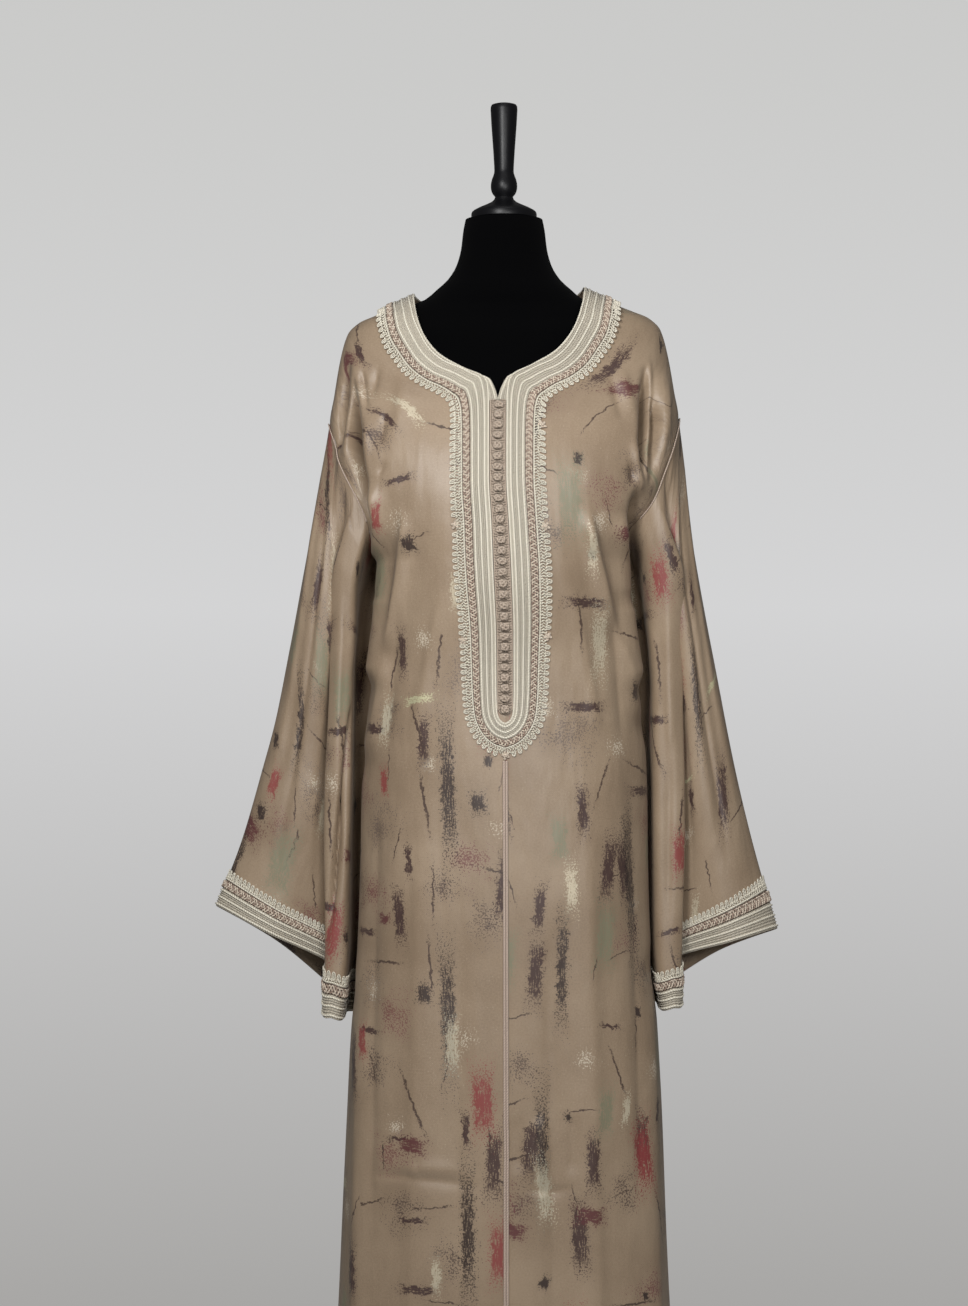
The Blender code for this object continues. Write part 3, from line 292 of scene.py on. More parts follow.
TORSO = Table(
    "height half_width front back squareness",
    (0.745, 0.15, 0.088, 0.088, 2.2), (0.765, 0.164, 0.1, 0.1, 2.2), (0.86, 0.168, 0.108, 0.106, 2.2),
    (0.94, 0.15, 0.102, 0.098, 2.2), (1.044, 0.13, 0.09, 0.078, 2.2), (1.142, 0.142, 0.102, 0.084, 2.2),
    (1.2, 0.152, 0.122, 0.092, 2.2), (1.246, 0.16, 0.128, 0.098, 2.2), (1.29, 0.168, 0.116, 0.102, 2.2),
    (1.345, 0.178, 0.088, 0.1, 2.2), (1.4, 0.186, 0.069, 0.084, 2.1), (1.44, 0.182, 0.062, 0.074, 2.1),
    (1.4575, 0.168, 0.054, 0.066, 2.0), (1.4672, 0.15, 0.052, 0.064, 2.0), (1.4771, 0.124, 0.05, 0.062, 2.0),
    (1.486, 0.102, 0.053, 0.063, 2.0), (1.4965, 0.0897, 0.053, 0.064, 2.0), (1.512, 0.0728, 0.05, 0.061, 2.0),
    (1.53, 0.0618, 0.048, 0.057, 2.0), (1.5511, 0.0559, 0.047, 0.054, 2.0), (1.575, 0.053, 0.046, 0.052, 2.0),
    (1.59, 0.05, 0.044, 0.05, 2.0),
)
torso_heights = np.linspace(0.7455, 1.5897, TORSO_ROWS)
torso_turns = np.linspace(0, 2 * math.pi, TORSO_COLUMNS, endpoint=False)
half_width, front, back, squareness = (TORSO.at(name, torso_heights)[:, None] for name in TORSO.names[1:])
torso_across, torso_deep = (
    np.sign(way) * np.abs(way) ** (2 / squareness) for way in (np.cos(torso_turns), np.sin(torso_turns))
)
torso_across = torso_across * half_width
torso_deep = torso_deep * np.where(torso_deep < 0, front, back)
torso_deep -= SEAM_SINK * np.exp(-((torso_across / SEAM_BREADTH) ** 2)) * np.sign(torso_deep)
torso_points = np.stack([torso_across, torso_deep, torso_heights[:, None] + 0 * torso_across], axis=-1)
torso_faces = grid_faces(TORSO_ROWS, TORSO_COLUMNS, ring=True).tolist()
torso_faces.append(tuple(range(TORSO_COLUMNS))[::-1])
torso_faces.append(tuple(range((TORSO_ROWS - 1) * TORSO_COLUMNS, TORSO_ROWS * TORSO_COLUMNS)))

jersey = Finish(
    "black_jersey_finish", Base_Color=(0.0012, 0.0012, 0.0014, 1.0), Roughness=0.95,
    Specular_IOR_Level=0.03, Sheen_Weight=0.01, Sheen_Roughness=0.6,
)
knit_place = {"Vector": jersey.add("TexCoord", output="Object"), "Scale": (900.0, 900.0, 620.0)}
knit = jersey.noise(jersey.add("Mapping", knit_place), 1.0, 2.0)
jersey.lead(Normal=jersey.bump(knit, 0.35, 0.0004))
form_cover = add_piece("form_jersey_cover", torso_points, torso_faces, jersey, "form_torso")
form_cover.data.set_sharp_from_angle(angle=math.radians(50))

# The front and back panels
# Printed satin, cut as two fronts and one back. The fronts meet down the centre below the opening, the
# side seams run straight to the hem, and the hem is turned up inside and slip-stitched.
HEM_HEIGHT, UNDERARM_HEIGHT, ARMHOLE_TOP_HEIGHT = 0.050, 1.142, 1.328
LEAN, LEAN_FOOT, LEAN_REACH = 0.015, 0.95, 0.35
BODY = Table(
    "height half_width front back squareness",
    (0.05, 0.223, 0.15, 0.142, 2.8), (0.178, 0.2145, 0.148, 0.139, 2.8), (0.42, 0.204, 0.143, 0.132, 2.8),
    (0.55, 0.1965, 0.14, 0.128, 2.8), (0.65, 0.186, 0.138, 0.125, 2.7), (0.75, 0.183, 0.136, 0.122, 2.7),
    (0.85, 0.181, 0.135, 0.12, 2.6), (0.94, 0.177, 0.133, 0.117, 2.5), (1.044, 0.163, 0.13, 0.112, 2.4),
    (1.142, 0.157, 0.133, 0.11, 2.3), (1.2, 0.1935, 0.139, 0.11, 2.4), (1.246, 0.211, 0.14, 0.11, 2.5),
    (1.29, 0.224, 0.128, 0.111, 2.5), (1.328, 0.2262, 0.112, 0.111, 2.4), (1.362, 0.221, 0.094, 0.108, 2.3),
    (1.4135, 0.212, 0.08, 0.1, 2.2), (1.444, 0.203, 0.072, 0.09, 2.1), (1.4585, 0.1885, 0.068, 0.084, 2.1),
    (1.4665, 0.17, 0.066, 0.081, 2.0), (1.472, 0.156, 0.065, 0.079, 2.0), (1.4825, 0.13, 0.062, 0.075, 2.0),
    (1.49, 0.113, 0.06, 0.072, 2.0), (1.4945, 0.104, 0.058, 0.07, 2.0), (1.502, 0.085, 0.055, 0.066, 2.0),
)
# How far the front opening's line strays from the middle.
CENTRE = Table(
    "height shift",
    (0.05, 0.002), (1.05, 0.0), (1.119, -0.0024), (1.184, -0.0055), (1.25, -0.009), (1.35, -0.0085),
    (1.5, -0.0065),
)
# Where each row of a panel starts at the centre and ends at the side, with its share of the shoulder's rise.
SKIRT_HEIGHTS = (HEM_HEIGHT, 0.18, 0.31, 0.43, 0.54, 0.64, 0.74, 0.84, 0.92, 0.985, 1.04, 1.095)
FRONT_ROWS = Table(
    "row inner_width inner_height outer_height shoulder",
    *((row, 0.0, height, height, 0) for row, height in enumerate(SKIRT_HEIGHTS)),
    (12, 0.0, 1.145, UNDERARM_HEIGHT, 0), (13, 0.0, 1.195, 1.166, 0.02), (14, 0.0, 1.245, 1.19, 0.06),
    (15, 0.0, 1.3, 1.214, 0.13), (16, 0.003, 1.3484, 1.238, 0.24), (17, 0.0175, 1.376, 1.261, 0.38),
    (18, 0.045, 1.3905, 1.282, 0.54), (19, 0.0775, 1.412, 1.3, 0.7), (20, 0.0985, 1.443, 1.314, 0.84),
    (21, 0.107, 1.474, 1.323, 0.95), (22, 0.108, 1.493, ARMHOLE_TOP_HEIGHT, 1),
)
ARMHOLE = Table(
    "height width",
    (UNDERARM_HEIGHT, 0.157), (1.19, 0.1768), (1.238, 0.1968), (1.282, 0.2132), (1.314, 0.223),
    (ARMHOLE_TOP_HEIGHT, 0.2262),
)
BACK_MIDDLE = Table(
    "row height",
    (0, HEM_HEIGHT), (11, 1.095), (12, 1.145), (17, 1.33), (20, 1.425), (22, 1.472),
)

# Shares of the shoulder line, from the neck to the top of the armhole, where the panels' columns end.
FRONT_SHOULDER = (0, 0.12, 0.22, 0.31, 0.38, 0.43, 0.48, 0.55, 0.64, 0.74, 0.83, 0.92, 1)
BACK_SHOULDER, BACK_NECK_COLUMNS = (0, 0.22, 0.38, 0.43, 0.55, 0.74, 1), 4
NECK_HALF_WIDTH, NECK_SIDE_HEIGHT, BACK_NECK_DROP = 0.1080, 1.4935, 0.0215
COLUMN_POWER = 0.85
SHOULDER_FACE_HEIGHT, SHOULDER_FACE_RISE = 1.40, 0.10
FIRST_ARMHOLE_ROW, LAST_ROW, STEPS_PER_ROW = 12, 22, 10
SKIRT_ROWS, FRONT_COLUMNS, BACK_COLUMNS = 300, 84, 64
HEM_TURN, HEM_THICKNESS, HEM_ROWS = 0.030, 0.0016, 5
# The sections' depths are evened out over these steps of height. Below the bust the cloth hangs a little
# clear of the form: by how much, round which height, and how far up and down.
DEPTH_SMOOTHING = (-0.036, -0.024, -0.012, 0.0, 0.012, 0.024, 0.036)
BUST_HANG = (0.013, 1.115, 0.075)
SLACK = 0.0011

# The creases in the cloth, each as a path from a start through a bend to an end (across, up), then
# the breadth of the crease, its rise (sunk where negative) and how far its two ends take to fade out.
FRONT_CREASES = {
    -1: (
        (-0.128, 1.215, -0.127, 1.11, -0.152, 1.015, 0.0085, 0.011, 0.05),
        (-0.174, 1.25, -0.158, 1.155, -0.154, 1.095, 0.01, 0.015, 0.03),
        (-0.154, 1.12, -0.153, 1.05, -0.175, 0.98, 0.01, 0.019, 0.03),
        (-0.146, 1.03, -0.164, 0.955, -0.178, 0.88, 0.013, 0.0085, 0.04),
        (-0.176, 0.905, -0.184, 0.75, -0.185, 0.56, 0.011, 0.007, 0.06),
        (-0.185, 0.6, -0.188, 0.32, -0.191, 0.052, 0.013, 0.006, 0.1),
        (-0.192, 1.395, -0.197, 1.288, -0.16, 1.16, 0.008, -0.052, 0.09),
        (-0.172, 1.335, -0.188, 1.27, -0.163, 1.185, 0.0055, 0.0045, 0.04),
        (-0.186, 1.42, -0.203, 1.34, -0.203, 1.255, 0.009, 0.01, 0.07),
        (-0.197, 1.41, -0.213, 1.345, -0.213, 1.275, 0.005, -0.022, 0.05),
        (-0.181, 1.396, -0.178, 1.365, -0.174, 1.332, 0.0042, -0.005, 0.02),
        (-0.158, 1.4, -0.163, 1.378, -0.17, 1.345, 0.005, -0.005, 0.03),
        (-0.15, 1.338, -0.152, 1.313, -0.156, 1.29, 0.005, -0.0045, 0.02),
        (-0.159, 1.248, -0.156, 1.262, -0.146, 1.27, 0.004, -0.004, 0.012),
        (-0.132, 1.395, -0.128, 1.34, -0.142, 1.29, 0.012, 0.004, 0.05),
        (-0.132, 1.11, -0.138, 1.01, -0.15, 0.89, 0.012, -0.005, 0.06),
        (-0.104, 0.85, -0.112, 0.46, -0.118, 0.06, 0.02, 0.004, 0.14),
        (-0.055, 0.72, -0.058, 0.4, -0.06, 0.06, 0.018, -0.004, 0.14),
        (-0.16, 0.85, -0.166, 0.56, -0.168, 0.3, 0.01, -0.0035, 0.1),
        (-0.075, 1.11, -0.1, 1.02, -0.118, 0.9, 0.011, 0.003, 0.06),
        (-0.18, 0.368, -0.11, 0.38, -0.02, 0.362, 0.0065, -0.003, 0.05),
        (-0.15, 0.382, -0.09, 0.392, -0.03, 0.376, 0.008, 0.0022, 0.05),
    ),
    1: (
        (0.103, 1.215, 0.117, 1.13, 0.146, 1.035, 0.0085, 0.011, 0.05),
        (0.152, 1.205, 0.149, 1.14, 0.154, 1.08, 0.01, 0.015, 0.03),
        (0.154, 1.105, 0.155, 1.045, 0.176, 0.975, 0.01, 0.019, 0.03),
        (0.14, 1.06, 0.158, 0.995, 0.178, 0.93, 0.013, 0.0085, 0.04),
        (0.176, 0.95, 0.184, 0.79, 0.186, 0.6, 0.011, 0.007, 0.06),
        (0.186, 0.64, 0.19, 0.36, 0.196, 0.052, 0.013, 0.006, 0.1),
        (0.182, 1.4, 0.177, 1.315, 0.175, 1.24, 0.007, -0.044, 0.06),
        (0.162, 1.3, 0.173, 1.268, 0.174, 1.222, 0.005, 0.005, 0.03),
        (0.168, 1.236, 0.165, 1.195, 0.16, 1.146, 0.0085, -0.04, 0.04),
        (0.184, 1.405, 0.194, 1.335, 0.178, 1.23, 0.0052, 0.008, 0.04),
        (0.192, 1.36, 0.197, 1.3, 0.183, 1.235, 0.0055, -0.024, 0.04),
        (0.208, 1.395, 0.213, 1.33, 0.2, 1.27, 0.009, 0.005, 0.04),
        (0.132, 1.39, 0.14, 1.35, 0.153, 1.306, 0.007, -0.0045, 0.04),
        (0.154, 1.268, 0.165, 1.25, 0.157, 1.236, 0.0042, -0.006, 0.015),
        (0.148, 1.395, 0.158, 1.36, 0.166, 1.318, 0.008, 0.0045, 0.04),
        (0.132, 1.12, 0.14, 1.02, 0.152, 0.9, 0.012, -0.005, 0.06),
        (0.104, 0.85, 0.112, 0.46, 0.118, 0.06, 0.02, 0.004, 0.14),
        (0.055, 0.72, 0.058, 0.4, 0.062, 0.06, 0.018, -0.004, 0.14),
        (0.158, 0.88, 0.168, 0.6, 0.17, 0.32, 0.01, -0.0035, 0.1),
        (0.08, 1.12, 0.104, 1.03, 0.122, 0.905, 0.011, 0.003, 0.06),
        (0.02, 0.362, 0.06, 0.352, 0.092, 0.366, 0.0065, -0.0028, 0.03),
        (0.012, 0.452, 0.014, 0.42, 0.012, 0.376, 0.0075, -0.0026, 0.02),
        (0.082, 0.456, 0.085, 0.42, 0.082, 0.372, 0.0075, -0.0028, 0.02),
        (0.047, 0.455, 0.049, 0.415, 0.046, 0.37, 0.011, 0.0024, 0.02),
    ),
}
BACK_CREASES = (
    (0.085, 1.31, 0.094, 0.7, 0.1, 0.06, 0.022, 0.007, 0.16),
    (-0.06, 1.29, -0.07, 0.7, -0.075, 0.06, 0.022, 0.006, 0.16),
    (0.02, 1.12, 0.022, 0.6, 0.015, 0.06, 0.02, -0.006, 0.16),
    (0.15, 1.4, 0.166, 1.2, 0.16, 0.9, 0.014, 0.006, 0.08),
    (-0.15, 1.4, -0.164, 1.2, -0.16, 0.9, 0.014, 0.006, 0.08),
    (0.178, 0.9, 0.184, 0.5, 0.19, 0.06, 0.014, 0.006, 0.1),
    (-0.178, 0.9, -0.186, 0.5, -0.19, 0.06, 0.014, 0.006, 0.1),
    (0.052, 0.92, 0.056, 0.5, 0.058, 0.06, 0.016, -0.005, 0.14),
    (-0.118, 0.86, -0.124, 0.46, -0.122, 0.06, 0.018, -0.0045, 0.14),
    (0.128, 0.78, 0.134, 0.42, 0.138, 0.06, 0.017, -0.0045, 0.14),
    (0.112, 1.24, 0.096, 1.12, 0.12, 0.98, 0.013, -0.004, 0.07),
    (-0.108, 1.25, -0.094, 1.12, -0.118, 0.97, 0.013, -0.004, 0.07),
    (0.04, 1.42, 0.075, 1.4, 0.11, 1.425, 0.01, -0.002, 0.04),
    (-0.036, 1.415, -0.07, 1.392, -0.108, 1.42, 0.01, -0.002, 0.04),
)
# The faint uneven waviness of hanging cloth: waves across and down to the metre, their start and share.
SLACK_WAVES = (
    (31, 5, 0.7, 0.40), (47, -9, 2.1, 0.28), (19, 12, 4.0, 0.34), (66, 7, 5.2, 0.16),
    (12, -17, 1.3, 0.30), (88, 16, 3.3, 0.10), (8, 29, 0.2, 0.16),
)


def unit(vectors):
    return vectors / np.maximum(np.linalg.norm(vectors, axis=-1, keepdims=True), 1e-12)


def gone_along(line):
    """How far along a line of points each of its points is."""
    return np.concatenate([[0], np.cumsum(np.linalg.norm(np.diff(line, axis=0), axis=1))])


def read_along(gone, line, wanted):
    """Points of a line at wanted lengths along it."""
    return np.stack([np.interp(wanted, gone, line[:, axis]) for axis in range(line.shape[1])], axis=-1)


def eased(share):
    return share * share * (3 - 2 * share)


def grid_normals(points, away):
    """Normals of a grid of points, turned to the side that the away vector points to."""
    normals = unit(np.cross(np.gradient(points, axis=0), np.gradient(points, axis=1)))
    normals[(normals * away).sum(axis=-1) < 0] *= -1
    return normals


def depth_share(across, height):
    """How much of the section's depth the cloth has at a place: 1 in the middle, 0 at the side fold."""
    squareness = BODY.at("squareness", height)
    reach = np.clip(np.abs(across) / BODY.at("half_width", height), 0, 1)
    return (1 - reach**squareness) ** (1 / squareness)


def crease_rise(creases, across, along):
    """Rise of all the creases at places on a piece. A crease is steeper on one side than on the other."""
    rise = np.zeros_like(across)
    for row in creases:
        start, bend, end = np.array(row[0:2]), np.array(row[2:4]), np.array(row[4:6])
        breadth, height, fade_length = row[6:9]
        t = np.linspace(0, 1, 25)[:, None]
        path = (1 - t) ** 2 * start + 2 * t * (1 - t) * bend + t * t * end
        low, high = path.min(axis=0) - 3 * breadth, path.max(axis=0) + 3 * breadth
        near = (across > low[0]) & (across < high[0]) & (along > low[1]) & (along < high[1])
        if not near.any():
            continue
        places = np.stack([across[near], along[near]], axis=-1)
        nearest = np.full(len(places), 9.0)
        beyond = np.zeros(len(places))
        share = np.zeros(len(places))
        for number in range(len(path) - 1):
            run = path[number + 1] - path[number]
            reach = np.clip(((places - path[number]) @ run) / (run @ run), 0, 1)
            gap = np.linalg.norm(places - path[number] - reach[:, None] * run, axis=-1)
            closer = gap < nearest
            nearest = np.where(closer, gap, nearest)
            beyond = np.where(closer, places[:, 0] - path[number, 0] - reach * run[0], beyond)
            share = np.where(closer, (number + reach) / (len(path) - 1), share)
        fade = np.clip(np.minimum(share, 1 - share) * gone_along(path)[-1] / fade_length, 0, 1)
        outer = beyond * np.sign(path[:, 0].sum()) > 0
        breadths = breadth * np.where(outer == (height < 0), 1.35, 0.60)
        roundness = 1.5 if height < 0 else 1.8
        rise[near] += height * np.exp(-((nearest / breadths) ** roundness)) * eased(fade)
    return rise


def shoulder_line(first_width, shares):
    """Points of the outer fold from the neck to the top of the armhole, at shares of its length."""
    heights = np.linspace(1.5005, ARMHOLE_TOP_HEIGHT, 900)
    widths = BODY.at("half_width", heights)
    line = np.stack([widths, heights], axis=-1)[widths >= first_width]
    gone = gone_along(line)
    return read_along(gone, line, np.asarray(shares) * gone[-1])


def lean(points):
    """The garment sits a little higher on its right shoulder."""
    leaned = points.copy()
    leaned[..., 2] += LEAN * points[..., 0] * np.clip((points[..., 2] - LEAN_FOOT) / LEAN_REACH, 0, 1)
    return leaned


def panel_top(side, front, columns):
    """The top edge of half a panel: the back neckline, on the back, and then the shoulder line."""
    neck_point = NECK_HALF_WIDTH + side * float(CENTRE.at("shift", NECK_SIDE_HEIGHT))
    if front:
        return shoulder_line(neck_point, np.interp(columns, np.arange(len(FRONT_SHOULDER)), FRONT_SHOULDER))
    shares = np.interp(columns - BACK_NECK_COLUMNS, np.arange(len(BACK_SHOULDER)), BACK_SHOULDER)
    turn = np.clip(columns / BACK_NECK_COLUMNS, 0, 1) * math.pi / 2
    tops = [shoulder_line(point, [0.0])[0, 1] for point in (neck_point, 2 * NECK_HALF_WIDTH - neck_point)]
    neck_height = tops[0] - (BACK_NECK_DROP + (tops[0] - tops[1]) / 2) * np.cos(turn) ** 2
    neck = np.stack([neck_point * np.sin(turn), neck_height], axis=-1)
    return np.where((columns < BACK_NECK_COLUMNS)[:, None], neck, shoulder_line(neck_point, shares))


def panel_grid(side, front, rows, column_count, creases):
    """The outer points of half a panel, from the centre to the side and from the hem up."""
    last_column = len(FRONT_SHOULDER) - 1 if front else BACK_NECK_COLUMNS + len(BACK_SHOULDER) - 1
    columns = np.linspace(0, last_column, column_count)
    heights = FRONT_ROWS.at("outer_height", rows)
    below = rows < FIRST_ARMHOLE_ROW
    widths = np.where(below, BODY.at("half_width", heights), ARMHOLE.at("width", heights))
    outer = np.stack([widths, heights], axis=-1)
    if front:
        starts = FRONT_ROWS.at("inner_height", rows)
        inner_widths = FRONT_ROWS.at("inner_width", rows) + side * CENTRE.at("shift", starts)
        inner = np.stack([inner_widths, starts], axis=-1)
    else:
        inner = np.stack([np.zeros(len(rows)), BACK_MIDDLE.at("height", rows)], axis=-1)
    shares = np.sin(columns / last_column * math.pi / 2) ** COLUMN_POWER
    straight_top = inner[-1] + shares[:, None] * (outer[-1] - inner[-1])
    flat = inner[:, None] + shares[None, :, None] * (outer - inner)[:, None]
    rise = panel_top(side, front, columns) - straight_top
    flat = flat + FRONT_ROWS.at("shoulder", rows)[:, None, None] * rise[None]
    across, height = flat[..., 0] * side, flat[..., 1]
    column = "front" if front else "back"
    depth = sum(BODY.at(column, height + near) for near in DEPTH_SMOOTHING) / len(DEPTH_SMOOTHING)
    if front:
        depth = depth + BUST_HANG[0] * np.exp(-(((height - BUST_HANG[1]) / BUST_HANG[2]) ** 2))
    depth = depth * depth_share(across, height)
    points = np.stack([across, (-depth if front else depth), height], axis=-1)
    away = points.copy()
    away[..., 2] = np.where(height > SHOULDER_FACE_HEIGHT, SHOULDER_FACE_RISE, 0.0)
    ways = unit(grid_normals(points, away) + np.array([0.0, -0.9 if front else 0.9, 0.0]))
    slack = SLACK * sum(share * np.sin(a * across + b * height + start) for a, b, start, share in SLACK_WAVES)
    rise = (crease_rise(creases, across, height) + slack) * depth_share(across, height).clip(0, 0.25) * 4
    return lean(points + ways * rise[..., None])


def flat_plane(points):
    """Each point's place on the flat cloth: how far across from the first column, and up from the hem."""
    across = np.cumsum(np.linalg.norm(np.diff(points, axis=1, prepend=points[:, :1]), axis=-1), axis=1)
    up = np.cumsum(np.linalg.norm(np.diff(points, axis=0, prepend=points[:1]), axis=-1), axis=0)
    return np.stack([across, up], axis=-1)


def cloth_piece(panel, points, plane, flip, finish):
    """A piece of the garment's cloth, hung on the form, with the size of the rectangle it was cut from."""
    piece = add_piece(panel + "_satin", points, grid_faces(*points.shape[:2], flip=flip), finish, panel,
                      plane)


def hemmed_piece(panel, points, plane, inward, flip, finish):
    """A panel with its foot turned in and up inside."""
    rows, places = [], []
    up = unit(points[2] - points[0])
    for number in range(HEM_ROWS, 0, -1):
        reach = HEM_TURN * (number / HEM_ROWS) ** 2
        rows.append(points[0] + up * reach + inward * HEM_THICKNESS)
        places.append(plane[0] - np.array([0.0, reach]))
    rows.append(points[0] + inward * HEM_THICKNESS * 0.6 - up * 0.0006)
    places.append(plane[0] - np.array([0.0, 0.0005]))
    cloth_piece(panel, np.concatenate([rows, points]), np.concatenate([places, plane]), flip, finish)


# The printed satin
# A polyester satin in taupe with a soft sheen and a fine weave, screen-printed with loose dabs, bars
# and speckled patches in plum, wine, grey-green and pale metallic gold.
SATIN_DARK, SATIN_LIGHT = (0.262, 0.189, 0.125), (0.352, 0.263, 0.180)
THREADS_PER_METRE, HALO_STRENGTH = 2400.0, 0.85
PLUM, UMBER, BLACK_PLUM = (0.048, 0.023, 0.024), (0.066, 0.040, 0.032), (0.028, 0.017, 0.017)
RED, WINE, GREY_GREEN = (0.250, 0.048, 0.047), (0.110, 0.030, 0.034), (0.225, 0.215, 0.140)
DABS = (
    # cell across, cell up, half across, half up, chance from, chance to, tilt, wobble, ink, seed, colour
    (0.086, 0.114, 0.0060, 0.0250, 0.00, 0.36, 0.16, 0.012, 0.46, (3.1, 7.7), PLUM),
    (0.086, 0.114, 0.0195, 0.0044, 0.36, 0.62, 0.22, 0.012, 0.46, (3.1, 7.7), PLUM),
    (0.086, 0.114, 0.0058, 0.0080, 0.62, 0.86, 0.60, 0.010, 0.44, (3.1, 7.7), BLACK_PLUM),
    (0.180, 0.270, 0.0058, 0.0520, 0.00, 0.42, 0.09, 0.014, 0.50, (4.9, 5.2), BLACK_PLUM),
    (0.071, 0.096, 0.0010, 0.0240, 0.00, 0.46, 0.42, 0.007, 0.43, (5.3, 1.2), UMBER),
    (0.071, 0.096, 0.0200, 0.0010, 0.46, 0.70, 0.42, 0.007, 0.43, (5.3, 1.2), UMBER),
    (0.140, 0.172, 0.0080, 0.0230, 0.00, 0.32, 0.12, 0.010, 0.47, (2.2, 4.6), RED),
    (0.140, 0.172, 0.0150, 0.0085, 0.32, 0.62, 0.34, 0.012, 0.47, (2.2, 4.6), WINE),
    (0.140, 0.172, 0.0110, 0.0300, 0.62, 0.90, 0.14, 0.016, 0.50, (2.2, 4.6), GREY_GREEN),
)
SPLATTERS = (
    # cell, radius, share, seed, colour
    (0.135, 0.044, 0.74, (4.4, 6.1), (0.062, 0.038, 0.035)),
    (0.190, 0.060, 0.62, (9.3, 1.9), (0.125, 0.090, 0.074)),
    (0.190, 0.046, 0.54, (0.8, 8.2), (0.165, 0.052, 0.054)),
    (0.150, 0.022, 0.50, (6.3, 2.7), (0.640, 0.560, 0.440)),
)
FOIL_DABS = (
    (0.165, 0.215, 0.0062, 0.0240, 0.00, 0.40, 0.14, 0.010, 0.50, (5.9, 0.6), (0.74, 0.67, 0.50)),
    (0.165, 0.215, 0.0150, 0.0040, 0.40, 0.68, 0.22, 0.008, 0.50, (5.9, 0.6), (0.68, 0.68, 0.42)),
)


